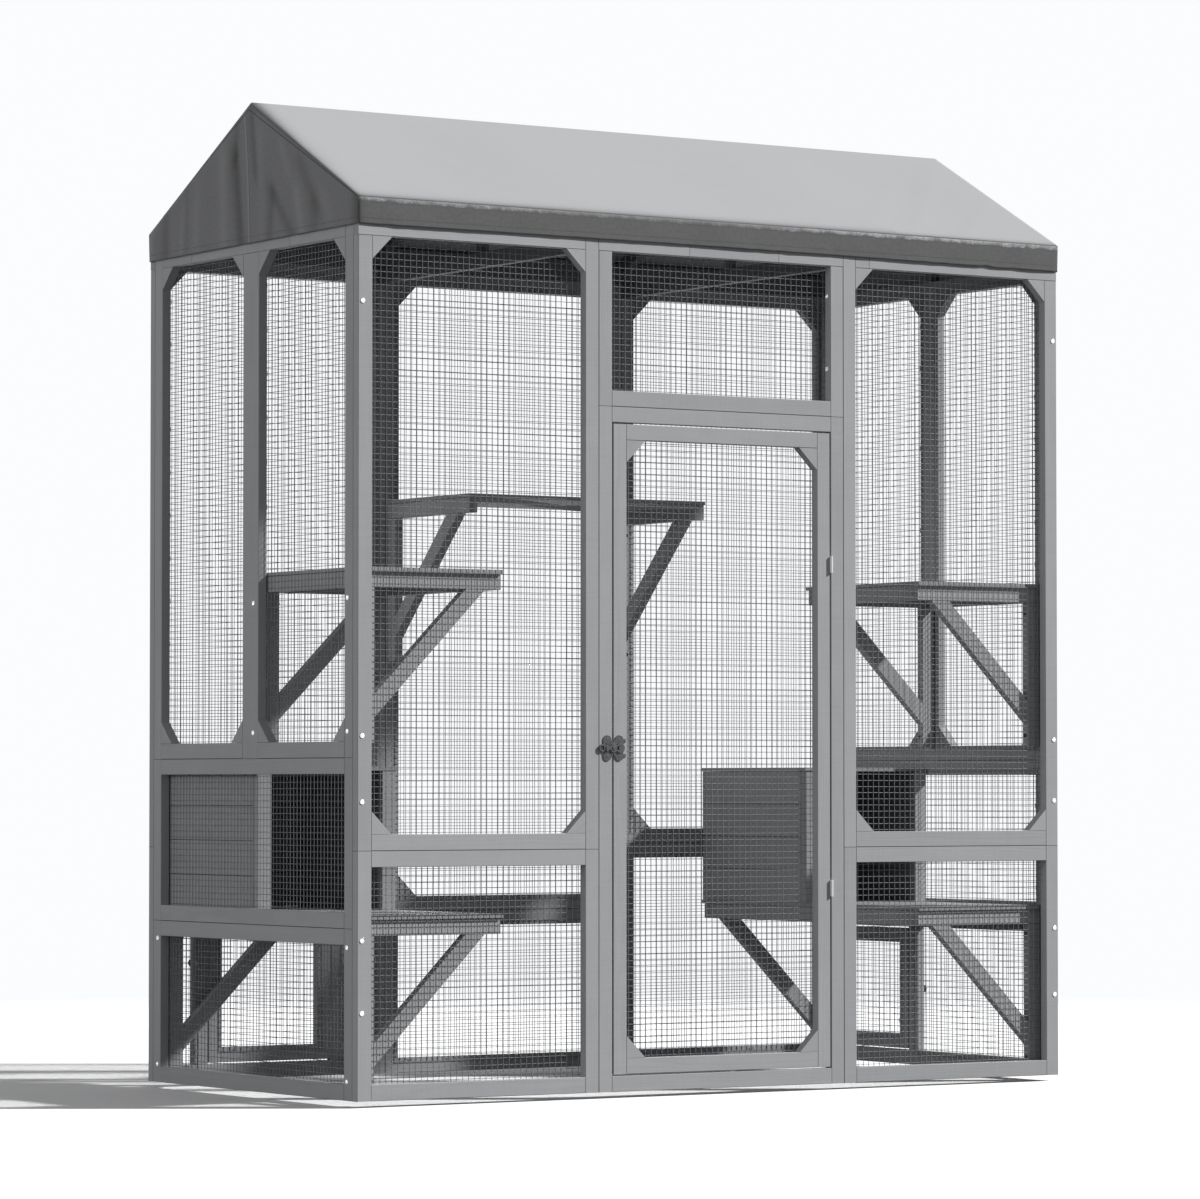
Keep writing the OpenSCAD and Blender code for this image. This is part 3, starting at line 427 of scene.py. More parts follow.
    # Sewn lines: distance, where the line runs and half its width in mm, and strength
    sewn = 0.0
    for distance, at, half, strength in ((eave, 0.0, 1.0, 0.75), (hem, 0.0, 0.8, 0.16),
                                         (fold, 0.0, 0.9, 0.80), (middle, -5.2, 0.8, 0.45)):
        off = add(tree, "ShaderNodeMath", {"operation": "SUBTRACT"}, {0: distance, 1: at * MM})
        away = add(tree, "ShaderNodeMath", {"operation": "ABSOLUTE"}, {0: off})
        near = add(tree, "ShaderNodeMapRange", None, {
            "Value": away, "From Min": half * MM, "From Max": 2 * half * MM,
            "To Min": strength, "To Max": 0.0})
        sewn = add(tree, "ShaderNodeMath", {"operation": "MAXIMUM"}, {0: sewn, 1: near})
    colour = add(tree, "ShaderNodeMix", {"data_type": "RGBA"}, {
        "Factor": sewn, "A": colour.outputs["Vector"]})
    colour.inputs["B"].default_value = tint(line)
    rough = add(tree, "ShaderNodeMapRange", None, {"Value": dust, "To Min": 0.56, "To Max": 0.72})
    # Relief: the threads, then ripples of the cloth that the sewn lines pull down
    ripple = add(tree, "ShaderNodeTexNoise", None, {"Vector": cut, "Scale": 1000 / RIPPLE, "Detail": 3.0})
    thread_bump = add(tree, "ShaderNodeBump", None, {
        "Height": weave, "Strength": 0.25, "Distance": 0.3 * MM})
    sunk = add(tree, "ShaderNodeMath", {"operation": "MULTIPLY_ADD"}, {0: sewn, 1: -0.5, 2: ripple})
    bump = add(tree, "ShaderNodeBump", None, {
        "Height": sunk, "Strength": 0.22, "Distance": 1.2 * MM, "Normal": thread_bump})
    close(tree, add(tree, "ShaderNodeBsdfPrincipled", None, {
        "Base Color": colour.outputs["Result"], "Roughness": rough.outputs["Result"],
        "Normal": bump, "IOR": 1.48, "Specular IOR Level": 0.3}).outputs["BSDF"])
    return finish


# Planed fir under grey stain: an even matt grey with the grain just showing
TIMBER = stained_fir("stained_fir", "#a9aaac", "#8f9092")
# The same fir painted darker: it stands for the shade under the roof and inside the sleeping boxes
SHADED_FIR = stained_fir("rough_sawn_stained_fir", "#737476", "#5e5f61")
# Painted shade for the joints: near black beads in their grooves stand for the shade in the gaps and draw
# them as dark lines
GAP_SHADE = plain_finish("pooled_stain", "#232324", "#151516", 1.5, 0.7, 0.1)
# Drawn steel wire dipped in grey vinyl: a dull dark wire with a soft highlight
WIRE = plain_finish("dipped_steel_wire", "#77797b", "#5c5e60", 1.2, 0.45, 0.1, specks=0.5)
# Stamped steel under white enamel: clean and bright, a little dust in the corners
ENAMEL = plain_finish("white_enamelled_steel", "#e9eaec", "#d5d6d8", 1.5, 0.34, 0.1, specks=0.3)
# Pan-head screws in bright zinc plate: shiny pale caps with dark crosses
BRIGHT_ZINC = plain_finish(
    "bright_zinc_screw", "#fafbfc", "#f0f1f3", 0.8, 0.32, 0.1, specks=0.4, metallic=0.85)
# Pressed steel in dark powder coat: charcoal, finely pebbled, half matt
CHARCOAL = plain_finish("powder_coated_steel", "#4a4c4f", "#3a3c3f", 0.7, 0.44, 0.1, specks=0.3)
# Blackened machine nuts: dark oiled steel
BLACKENED = plain_finish("blackened_steel_nut", "#54565a", "#3c3d41", 0.9, 0.40, 0.1, metallic=0.6)
# Galvanised staples: grey zinc wire
ZINC = plain_finish("galvanised_staple", "#9b9ea2", "#7b7e82", 0.9, 0.40, 0.1, metallic=1.0)
# Bonded polyester thread: dark, round, slightly shiny
THREAD = plain_finish("bonded_thread", "#4a4b4d", "#37383a", 0.5, 0.5, 0.1)
# Coated canvas: one grey cloth with painted shade where it hangs and painted light on the roof, sewn with
# dark thread
CLOTH = coated_cloth("coated_canvas", "#555555", "#9b9c9e", "#29292b")
# The cloth's uncoated inner side: matt, a little fluffy, and painted pale to stand in for the light that
# comes through the cloth
LINING = plain_finish("canvas_lining", "#a8a9ab", "#979899", 1.3, 0.85, 0.2)
# Painted shade for the slots of the latches: near black floors that stand for the shade in them
SLOT_SHADE = plain_finish("black_oxide_steel", "#0e0e0f", "#060607", 0.9, 0.7, 0.1)

# Timber

# Cosines that tell a stick's faces apart: the normal of a side keeps below the first with
# the grain and that of an end is above the second. Two directions agree above the third,
# and are square to each other below the fourth
SIDE_LEAN = 0.2
END_LEAN = 0.6
SQUARE_LEAN = 0.95
RIGHT_ANGLE = 0.05
# An arris is smaller than this, in square metres, and a lip is longer than this, in metres
ARRIS_AREA = 0.004
LEAST_LIP = 0.004
# The arrises are cut off this deep below the sides
CHAMFER = 0.5 * MM
# The pith lies this far from a stick's middle, in metres
PITH = (0.018, 0.060)


def sticks_of(work):
    """The separate sticks of a merged mesh, as lists of vertices."""
    seen = set()
    for first in work.verts:
        if first in seen:
            continue
        seen.add(first)
        stick, rim = [first], [first]
        while rim:
            for link in rim.pop().link_edges:
                for corner in link.verts:
                    if corner not in seen:
                        seen.add(corner)
                        stick.append(corner)
                        rim.append(corner)
        yield stick


def low_corner(stick):
    """The stick's place in the order in which the sticks draw their grain."""
    return tuple(round(c, 4) for c in min(v.co[:] for v in stick))


def ways_of(stick, faces):
    """The stick's own directions: along the grain, across its widest side and through it."""
    edges = {e for v in stick for e in v.link_edges}
    longest = max(edges, key=lambda e: (
        round(e.calc_length(), 6), round(sum(e.verts[0].co), 5), e.verts[0].co[:]))
    along = (longest.verts[1].co - longest.verts[0].co).normalized()
    if sum(along) < 0:
        along.negate()
    sides = [f for f in faces if abs(f.normal.dot(along)) < SIDE_LEAN] or faces
    widest = max(sides, key=lambda f: (
        round(f.calc_area(), 7), round(sum(f.normal), 4), tuple(round(c, 4) for c in f.normal)))
    through = widest.normal.copy()
    return along, through.cross(along).normalized(), through


# Lips of the sticks, where a neighbour may meet them: body, a point as deep as the chamfer,
# way along, way out, way to the neighbour, and reach along
LIPS = []


def note_arris(body, face, along, across, through):
    """Notes both lips of an arris along a stick, one beside each of its two sides."""
    span = [v.co.dot(along) for v in face.verts]
    sides = [n for n in (across, -across, through, -through) if n.dot(face.normal) > 0.5]
    for out, to in ((sides[0], sides[-1]), (sides[-1], sides[0])):
        LIPS.append((body, face.calc_center_median(), along, out, to, min(span), max(span)))


def note_end(body, face):
    """Notes the lips round a square end of a stick."""
    for edge in face.edges:
        side = next(f for f in edge.link_faces if f is not face)
        if edge.calc_length() > LEAST_LIP and abs(side.normal.dot(face.normal)) < RIGHT_ANGLE:
            way = (edge.verts[1].co - edge.verts[0].co).normalized()
            span = [v.co.dot(way) for v in edge.verts]
            inside = edge.verts[0].co - side.normal * CHAMFER
            LIPS.append((body, inside, way, side.normal.copy(), face.normal.copy(),
                         min(span), max(span)))


def dress_timber(node, chance):
    """A copy of a timber node whose sticks know their own grain, tone, ends and arrises."""
    body = body_of(node)
    work = bmesh.new()
    work.from_mesh(frame["nodes"][node].data)
    bmesh.ops.remove_doubles(work, verts=work.verts, dist=0.02 * MM)
    bmesh.ops.dissolve_limit(work, angle_limit=0.004, verts=work.verts, edges=work.edges)
    grain = work.verts.layers.float_vector.new("grain")
    tone = work.verts.layers.float.new("tone")
    end_face = work.faces.layers.float.new("end_face")
    arris = work.faces.layers.float.new("arris")
    work.normal_update()
    for stick in sorted(sticks_of(work), key=low_corner):
        faces = list(dict.fromkeys(f for v in stick for f in v.link_faces))
        along, across, through = ways_of(stick, faces)
        middle = sum((v.co for v in stick), Vector()) / len(stick)
        # Each stick is cut from its own place in a long log, and takes the stain its own way
        turn = chance.uniform(0, 2 * math.pi)
        pith = chance.uniform(*PITH)
        shift = Vector((chance.uniform(0, 40), pith * math.cos(turn), pith * math.sin(turn)))
        shade = chance.uniform(-1, 1)
        for v in stick:
            away = v.co - middle
            v[grain] = shift + Vector((away.dot(along), away.dot(across), away.dot(through)))
            v[tone] = shade
        for face in faces:
            lean = abs(face.normal.dot(along))
            flat = max(abs(face.normal.dot(across)), abs(face.normal.dot(through)))
            face[end_face] = float(lean > END_LEAN)
            if lean < SIDE_LEAN and flat < SQUARE_LEAN and face.calc_area() < ARRIS_AREA:
                face[arris] = 1.0
                note_arris(body, face, along, across, through)
            elif lean > SQUARE_LEAN:
                note_end(body, face)
    if node in BOXES:
        shade_box_insides(work)
    mesh = finished(work, node + "_timber")
    # The roof's timbers take the fir painted darker for the shade under the roof
    mesh.materials.append(SHADED_FIR if node in ROOF_TIMBERS else TIMBER)
    if node in BOXES:
        mesh.materials.append(SHADED_FIR)
    return seat(linked(node + "_timber", mesh), body, "timber", node)


def shade_box_insides(work):
    """Gives the second finish, the fir painted darker for their shade, to the faces that look into a
    sleeping box.
    """
    low = Vector(min(v.co[i] for v in work.verts) for i in range(3))
    high = Vector(max(v.co[i] for v in work.verts) for i in range(3))
    for face in work.faces:
        ahead = face.calc_center_median() + face.normal * 30 * MM
        face.material_index = all(low[i] < ahead[i] < high[i] for i in range(3))


# Two lips meet where they lie this close across the joint and in their level. They are
# square ends where they lie closer still, and their bead then stands a hair proud
JOINT_REACH = 1.7 * MM
JOINT_SLACK = 0.1 * MM
LEVEL_SLACK = 0.4 * MM
SQUARE_REACH = 0.7 * MM
BEAD_DEPTH = 0.7 * MM
SQUARE_BEAD_HALF = 0.5 * MM
SQUARE_BEAD_RISE = 0.55 * MM
# The corners of a bead's six sides, numbered by depth, then side, then way
BOX_SIDES = ((0, 1, 3, 2), (4, 6, 7, 5), (0, 4, 5, 1), (2, 3, 7, 6), (0, 2, 6, 4), (1, 5, 7, 3))


def add_gap_shade():
    """Painted shade in the grooves where two sticks meet: a dark bead from lip to lip, as far below
    their faces as the chamfer is deep, in place of the shade in the joint's gap."""
    # Lips that run and face the same way stand in one row: those whose neighbour is to the
    # right, and those whose neighbour is to the left
    rows = {}
    for body, at, along, out, to, low, high in LIPS:
        if next(c for c in along if abs(c) > 0.01) < 0:
            along, low, high = -along, -high, -low
        turned = out.cross(along)
        key = (body, tuple(round(c, 2) + 0.0 for c in (*along, *out)))
        rows.setdefault(key, ([], []))[turned.dot(to) < 0].append(
            (at.dot(turned), at.dot(out), low, high, along, out, turned))
    beads = {}
    for (body, _), (right, left) in rows.items():
        left.sort(key=lambda lip: lip[:4])
        places = [lip[0] for lip in left]
        for a, level, low, high, along, out, turned in right:
            first = bisect.bisect_left(places, a - JOINT_SLACK)
            for lip in left[first:bisect.bisect_right(places, a + JOINT_REACH)]:
                b, other, low_b, high_b = lip[:4]
                start, end = max(low, low_b), min(high, high_b)
                if abs(level - other) < LEVEL_SLACK and end - start > LEAST_LIP:
                    square = b - a < SQUARE_REACH
                    middle = (a + b) / 2
                    half = SQUARE_BEAD_HALF if square else (b - a) / 2 + JOINT_SLACK
                    top = level + (SQUARE_BEAD_RISE if square else 0.0)
                    beads.setdefault(body, []).append([
                        turned * (middle + side * half) + out * (top - depth) + along * way
                        for depth in (0.0, BEAD_DEPTH) for side in (-1, 1) for way in (start, end)])
    for body, boxes in beads.items():
        work = bmesh.new()
        for corners in boxes:
            made = [work.verts.new(corner) for corner in corners]
            for side in BOX_SIDES:
                work.faces.new([made[k] for k in side])
        mesh = finished(work, body + "_joint_stain", outwards=True)
        mesh.materials.append(GAP_SHADE)
        seat(linked(mesh.name, mesh), body, "timber")


TIMBER_NODES = [
    "front_left_lower_frame", "front_left_upper_frame", "door_frame", "transom_frame",
    "front_right_lower_frame", "front_right_upper_frame", "main_door",
    "back_left_lower_frame", "back_left_upper_frame", "back_centre_lower_frame",
    "back_centre_upper_frame", "back_right_lower_frame", "back_right_upper_frame",
    "back_pet_door", "left_end_lower_frame", "left_end_middle_frame",
    "left_end_upper_frame", "right_end_lower_frame", "right_end_middle_frame",
    "right_end_upper_frame", "end_pet_door", "left_low_shelf", "right_low_shelf",
    "left_middle_shelf", "right_middle_shelf", "back_high_shelf", "left_decks",
    "right_decks", "back_deck", "left_sleeping_box", "right_sleeping_box",
    "eave_rails", "ridge_beam", "end_trusses", "tie_trusses",
]
ROOF_TIMBERS = ("eave_rails", "ridge_beam", "end_trusses", "tie_trusses")
BOXES = ("left_sleeping_box", "right_sleeping_box")
for number, node in enumerate(TIMBER_NODES):
    dress_timber(node, random.Random(100 + number))
add_gap_shade()

# Nets


def socket_in(tree, name, kind, value=None):
    """Adds a named input to a tree."""
    made = tree.interface.new_socket(name=name, in_out="INPUT", socket_type=kind)
    if value is not None:
        made.default_value = value


# The level wires lie this deep behind the upright ones, and a wire strays this far at
# most from its place, in metres
LAYER_GAP = 0.00115
STRAY = 0.0003


def net_tree():
    """Welded net in the plane of x and z: upright wires in a first layer and level
    wires in a second, pressed a little into each other, as spot welding leaves them."""
    tree = bpy.data.node_groups.new("welded_net", "GeometryNodeTree")
    tree.interface.new_socket(name="Geometry", in_out="OUTPUT", socket_type="NodeSocketGeometry")
    socket_in(tree, "Width", "NodeSocketFloat", 0.5)
    socket_in(tree, "Height", "NodeSocketFloat", 0.5)
    socket_in(tree, "Columns", "NodeSocketInt", 30)
    socket_in(tree, "Rows", "NodeSocketInt", 30)
    socket_in(tree, "Wire radius", "NodeSocketFloat", 0.0007)
    socket_in(tree, "Bend spacing", "NodeSocketFloat", 0.07)
    socket_in(tree, "Bend", "NodeSocketFloat", 0.0006)
    socket_in(tree, "Seed", "NodeSocketInt", 1)
    socket_in(tree, "Finish", "NodeSocketMaterial")
    given = add(tree, "NodeGroupInput").outputs
    section = add(tree, "GeometryNodeCurvePrimitiveCircle", None, {
        "Resolution": 6, "Radius": given["Wire radius"]}).outputs["Curve"]
    layers = []
    for way, length, count, across, depth in (
        ((0, 0, 1), "Height", "Columns", "Width", 0.0),
        ((1, 0, 0), "Width", "Rows", "Height", LAYER_GAP),
    ):
        run = add(tree, "ShaderNodeVectorMath", {"operation": "SCALE"}, {
            0: way, "Scale": given[length]})
        wire = add(tree, "GeometryNodeCurvePrimitiveLine", None, {
            "End": run.outputs["Vector"]}).outputs["Curve"]
        parts = add(tree, "ShaderNodeMath", {"operation": "DIVIDE"}, {
            0: given[length], 1: given["Bend spacing"]})
        parts = add(tree, "ShaderNodeMath", {"operation": "ADD"}, {0: parts, 1: 2.0})
        wire = add(tree, "GeometryNodeResampleCurve", None, {"Curve": wire, "Count": parts})
        less = add(tree, "ShaderNodeMath", {"operation": "SUBTRACT"}, {0: given[count], 1: 1.0})
        step = add(tree, "ShaderNodeMath", {"operation": "DIVIDE"}, {0: given[across], 1: less})
        side = (way[2], 0, way[0])
        gap = add(tree, "ShaderNodeVectorMath", {"operation": "SCALE"}, {0: side, "Scale": step})
        places = add(tree, "GeometryNodeMeshLine", {"mode": "OFFSET"}, {
            "Count": given[count], "Start Location": (0, depth, 0), "Offset": gap.outputs["Vector"]})
        stray = add(tree, "ShaderNodeTexWhiteNoise", {"noise_dimensions": "4D"}, {
            "Vector": add(tree, "GeometryNodeInputPosition"), "W": given["Seed"]})
        stray = add(tree, "ShaderNodeMath", {"operation": "MULTIPLY_ADD"}, {
            0: stray.outputs["Value"], 1: 2 * STRAY, 2: -STRAY})
        stray = add(tree, "ShaderNodeVectorMath", {"operation": "SCALE"}, {0: side, "Scale": stray})
        places = add(tree, "GeometryNodeSetPosition", None, {
            "Geometry": places, "Offset": stray.outputs["Vector"]})
        layers.append(add(tree, "GeometryNodeInstanceOnPoints", None, {
            "Points": places, "Instance": wire}))
    both = add(tree, "GeometryNodeJoinGeometry")
    for layer in layers:
        tree.links.new(layer.outputs[0], both.inputs[0])
    wires = add(tree, "GeometryNodeRealizeInstances", None, {"Geometry": both})
    # The wires wander together, three times as far along the net as out of it
    field = add(tree, "ShaderNodeTexNoise", {"noise_dimensions": "4D"}, {
        "Vector": add(tree, "GeometryNodeInputPosition"), "W": given["Seed"], "Scale": 7.0, "Detail": 2.0})
    off = add(tree, "ShaderNodeVectorMath", {"operation": "SUBTRACT"}, {
        0: field.outputs["Color"], 1: (0.5, 0.25, 0.5)})
    off = add(tree, "ShaderNodeVectorMath", {"operation": "MULTIPLY"}, {0: off, 1: (3.0, 0.3, 3.0)})
    off = add(tree, "ShaderNodeVectorMath", {"operation": "SCALE"}, {0: off, "Scale": given["Bend"]})
    wires = add(tree, "GeometryNodeSetPosition", None, {
        "Geometry": wires, "Offset": off.outputs["Vector"]})
    solid = add(tree, "GeometryNodeCurveToMesh", None, {
        "Curve": wires, "Profile Curve": section, "Fill Caps": True})
    solid = add(tree, "GeometryNodeSetShadeSmooth", None, {"Geometry": solid})
    solid = add(tree, "GeometryNodeRealizeInstances", None, {"Geometry": solid})
    solid = add(tree, "GeometryNodeSetMaterial", None, {
        "Geometry": solid, "Material": given["Finish"]})
    add(tree, "NodeGroupOutput", None, {0: solid})
    return tree


def planted_tree():
    """Puts a small shape on every point of a mesh, turned by the point's `turn`."""
    tree = bpy.data.node_groups.new("planted_rows", "GeometryNodeTree")
    tree.interface.new_socket(name="Geometry", in_out="OUTPUT", socket_type="NodeSocketGeometry")
    tree.interface.new_socket(name="Points", in_out="INPUT", socket_type="NodeSocketGeometry")
    socket_in(tree, "Shape", "NodeSocketObject")
    socket_in(tree, "Size spread", "NodeSocketFloat", 0.02)
    socket_in(tree, "Seed", "NodeSocketInt", 1)
    socket_in(tree, "Finish", "NodeSocketMaterial")
    given = add(tree, "NodeGroupInput").outputs
    shape = add(tree, "GeometryNodeObjectInfo", None, {"Object": given["Shape"]}).outputs["Geometry"]
    turn = add(tree, "GeometryNodeInputNamedAttribute", {"data_type": "FLOAT_VECTOR"}, {"Name": "turn"})
    turn = add(tree, "FunctionNodeEulerToRotation", None, {0: turn.outputs["Attribute"]})
    low = add(tree, "ShaderNodeMath", {"operation": "SUBTRACT"}, {0: 1.0, 1: given["Size spread"]})
    size = add(tree, "ShaderNodeTexWhiteNoise", {"noise_dimensions": "4D"}, {
        "Vector": add(tree, "GeometryNodeInputPosition"), "W": given["Seed"]})
    size = add(tree, "ShaderNodeMapRange", None, {
        "Value": size.outputs["Value"], "To Min": low, "To Max": 1.0})
    rows = add(tree, "GeometryNodeInstanceOnPoints", None, {
        "Points": given["Points"], "Instance": shape, "Rotation": turn.outputs[0],
        "Scale": size.outputs["Result"]})
    rows = add(tree, "GeometryNodeRealizeInstances", None, {"Geometry": rows})
    rows = add(tree, "GeometryNodeSetMaterial", None, {
        "Geometry": rows, "Material": given["Finish"]})
    add(tree, "NodeGroupOutput", None, {0: rows})
    return tree


NET_TREE = net_tree()
PLANTED = planted_tree()

# The real half inch nets, in mm: their pitch along the wall and up it, the wire's radius,
# how far a net laps over its sticks, and the sticks' thickness
PITCH_U = 13.7
PITCH_Z = 12.9
WIRE_R = 0.64
LAP = 10.0
STICK = 20.0
# Staples hold the middle of the lap at every seventh mesh, from the fourth wire on. Their
# crowns lie this deep in the wall over an upright wire and over a level one
STAPLED = 7
FIRST_STAPLE = 3
CROWN_UPRIGHT = 22.1
CROWN_LEVEL = 22.95
# Two CAD wires cross where they do so within this many mm
SLACK = 0.1

# The nets and the walls that they hang in
NETS = {
    "front_left_nets": "front", "front_right_nets": "front", "transom_net": "front",
    "main_door_net": "front", "back_left_nets": "back", "back_centre_nets": "back",
    "back_right_nets": "back", "back_pet_door_net": "back", "left_end_nets": "left",
    "right_end_nets": "right", "end_pet_door_net": "right",
}


def net_windows(node, wall):
    """The windows (u0, u1, z0, z1) that a node's nets cover, in mm, from its CAD wires: a
    level wire gives the width of its net, and an upright one that it crosses the height.
    They come from the bottom up, and those of the ends from the top down."""
    to_wall = WALLS[wall].inverted()
    work = bmesh.new()
    work.from_mesh(frame["nodes"][node].data)
    bmesh.ops.remove_doubles(work, verts=work.verts, dist=0.01 * MM)
    wires = []
    for wire in sticks_of(work):
        places = [to_wall @ v.co for v in wire]
        us, zs = [p.x / MM for p in places], [p.z / MM for p in places]
        wires.append((min(us), max(us), min(zs), max(zs)))
    work.free()
    uprights = [wire for wire in wires if wire[3] - wire[2] > wire[1] - wire[0]]
    levels = [wire for wire in wires if wire not in uprights]
    windows = set()
    for u0, u1, z0, z1 in levels:
        for left, right, low, high in uprights:
            if u0 - SLACK < left < right < u1 + SLACK and low - SLACK < z0 < z1 < high + SLACK:
                window = (u0 + LAP, u1 - LAP, low + LAP, high - LAP)
                windows.add(tuple(round(edge, 1) for edge in window))
    rising = 1 if wall in ("front", "back") else -1
    return sorted(windows, key=lambda window: (rising * window[2], window[0]))


def staple_shape():
    """A staple 10 mm across, of flat wire 0.7 by 1 mm, its crown along x and its legs
    2.2 mm down -z."""
    work = bmesh.new()
    wire = ((-0.35, -0.5), (0.35, -0.5), (0.35, 0.5), (-0.35, 0.5))
    rings = []
    for x, z, bend in ((-5.0, -2.2, 0), (-5.0, 0.0, 1), (5.0, 0.0, 1), (5.0, -2.2, 0)):
        side = math.copysign(1.0, x)
        rings.append([work.verts.new(((x + side * d) * MM, w * MM, (z + bend * d) * MM)) for d, w in wire])
    lofted(work, rings)
    return finished(work, "staple_shape", outwards=True)


def lathe_shape(name, profile, sides, cross=0.0, flats=False):
    """A turned head from (radius, height) in mm, with a cross recess of that depth."""
    work = bmesh.new()
    rings = []
    # The arms of the cross reach a little over half way out
    recess = 0.56 * profile[0][0]
    arm = sides // 4
    for radius, height in profile:
        ring = []
        for k in range(sides):
            angle = 2 * math.pi * (k + 0.5) / sides
            sink = cross if radius < recess and k % arm in (0, arm - 1) else 0.0
            ring.append(work.verts.new((radius * math.cos(angle) * MM, radius * math.sin(angle) * MM,
                                        (height - sink) * MM)))
        rings.append(ring)
    for face in lofted(work, rings):
        face.smooth = not flats
    return finished(work, name, outwards=True)


def turn_to(out, spin):
    """Euler turn that takes +Z to `out` and spins about it."""
    lean = Vector((0, 0, 1)).rotation_difference(Vector(out))
    return (lean.to_matrix() @ Matrix.Rotation(spin, 3, "Z")).to_euler()


def frame_turn(right, out):
    """Euler turn that takes +X to `right` and +Z to `out`."""
    x, z = Vector(right).normalized(), Vector(out).normalized()
    return Matrix((x, z.cross(x), z)).transposed().to_euler()


def planted(name, places, shape, finish, seed, spread=0.0):
    """A plain mesh of `shape` on every (point, turn) in places."""
    points = bpy.data.meshes.new("points")
    points.from_pydata([p[:] for p, _ in places], [], [])
    turns = points.attributes.new("turn", "FLOAT_VECTOR", "POINT")
    for i, (_, turn) in enumerate(places):
        turns.data[i].vector = turn[:]
    holder = linked("planted_shape", shape)
    mesh = grown(PLANTED, points, {"Shape": holder, "Size spread": spread, "Seed": seed, "Finish": finish})
    bpy.data.objects.remove(holder)
    mesh.name = name
    return mesh


def net_of(node, wall, number):
    """Lays the welded nets of a node over its windows and staples them down."""
    meshes = []
    staples = []
    chance = random.Random(500 + number)
    inward = wall_way(wall, (0, 1, 0))
    for k, (u0, u1, z0, z1) in enumerate(net_windows(node, wall)):
        left, low = u0 - LAP + WIRE_R, z0 - LAP + WIRE_R
        wide, high = u1 - u0 + 2 * LAP - 2 * WIRE_R, z1 - z0 + 2 * LAP - 2 * WIRE_R
        columns, rows = round(wide / PITCH_U) + 1, round(high / PITCH_Z) + 1
        mesh = grown(NET_TREE, bpy.data.meshes.new("empty"), {
            "Width": wide * MM, "Height": high * MM, "Columns": columns, "Rows": rows,
            "Wire radius": WIRE_R * MM, "Seed": 10 * number + k, "Finish": WIRE})
        mesh.transform(Matrix.Translation((left * MM, (STICK + 0.1 + WIRE_R) * MM, low * MM)))
        meshes.append(on_wall(mesh, wall))
        for i in range(FIRST_STAPLE, columns - 2, STAPLED):
            u = left + i * wide / (columns - 1) + chance.uniform(-1, 1)
            for z in (z0 - LAP / 2, z1 + LAP / 2):
                staples.append((wall_place(wall, u, CROWN_UPRIGHT, z + chance.uniform(-1.5, 1.5)),
                                frame_turn(wall_way(wall, (1, 0, chance.uniform(-0.15, 0.15))), inward)))
        for j in range(FIRST_STAPLE, rows - 2, STAPLED):
            z = low + j * high / (rows - 1) + chance.uniform(-1, 1)
            for u in (u0 - LAP / 2, u1 + LAP / 2):
                staples.append((wall_place(wall, u + chance.uniform(-1.5, 1.5), CROWN_LEVEL, z),
                                frame_turn(wall_way(wall, (0, 0, 1)), inward)))
    body = body_of(node)
    seat(linked(node + "_wires", joined(node + "_wires", meshes)), body, "net_wire", node)
    mesh = planted(node + "_staples", staples, staple_shape(), ZINC, 70 + number)
    seat(linked(node + "_staples", mesh), body, "screw_steel")


for number, (node, wall) in enumerate(NETS.items()):
    net_of(node, wall, number)

# Cover

# The cover's shape in metres: half its depth and its height at the eaves, the
# ridge, the hem in the middle, half its length, the cloth's thickness, and the radii of
# the folded ends and of the eaves
EAVE_Y = 0.435
EAVE_Z = 1.779
RIDGE_Z = 2.010
HEM_Z = 1.7237
END_X = 0.875
CLOTH_T = 0.0012
END_ROUND = 0.008
EAVE_ROUND = 0.012
# Length of a slope, height of the hanging edge, how steep a slope is, and how far the
# rounded eave reaches to either side of its corner
SLOPE = math.hypot(EAVE_Y, RIDGE_Z - EAVE_Z)
DROP = EAVE_Z - HEM_Z
LEAN = math.atan2(RIDGE_Z - EAVE_Z, EAVE_Y)
TANGENT = EAVE_ROUND * math.tan((math.pi / 2 - LEAN) / 2)
# Where the cloth lies on trusses, along x
TRUSSES = (-END_X, -0.305, 0.305, END_X)

# Soft folds on the slopes: x and distance from the ridge of both ends, width, height;
# the front slope counts its distance below zero
chance = random.Random(31)
SLOPE_FOLDS = [
    (0.56, -0.40, 0.80, -0.10, 0.020, 0.7), (0.66, -0.45, 0.86, -0.24, 0.016, 0.6),
    (0.40, -0.46, 0.62, -0.20, 0.024, 0.5), (-0.86, -0.30, -0.66, -0.44, 0.018, 0.5),
    (-0.20, -0.12, 0.12, -0.34, 0.030, 0.4), (-0.60, -0.18, -0.40, -0.42, 0.022, 0.4),
]
for k in range(8):
    x, s = chance.uniform(-0.8, 0.7), chance.uniform(0.08, 0.44)
    SLOPE_FOLDS.append((x, s, x + chance.uniform(0.1, 0.25), s + chance.uniform(-0.16, 0.16),
                        chance.uniform(0.014, 0.028), chance.uniform(0.4, 1.0)))

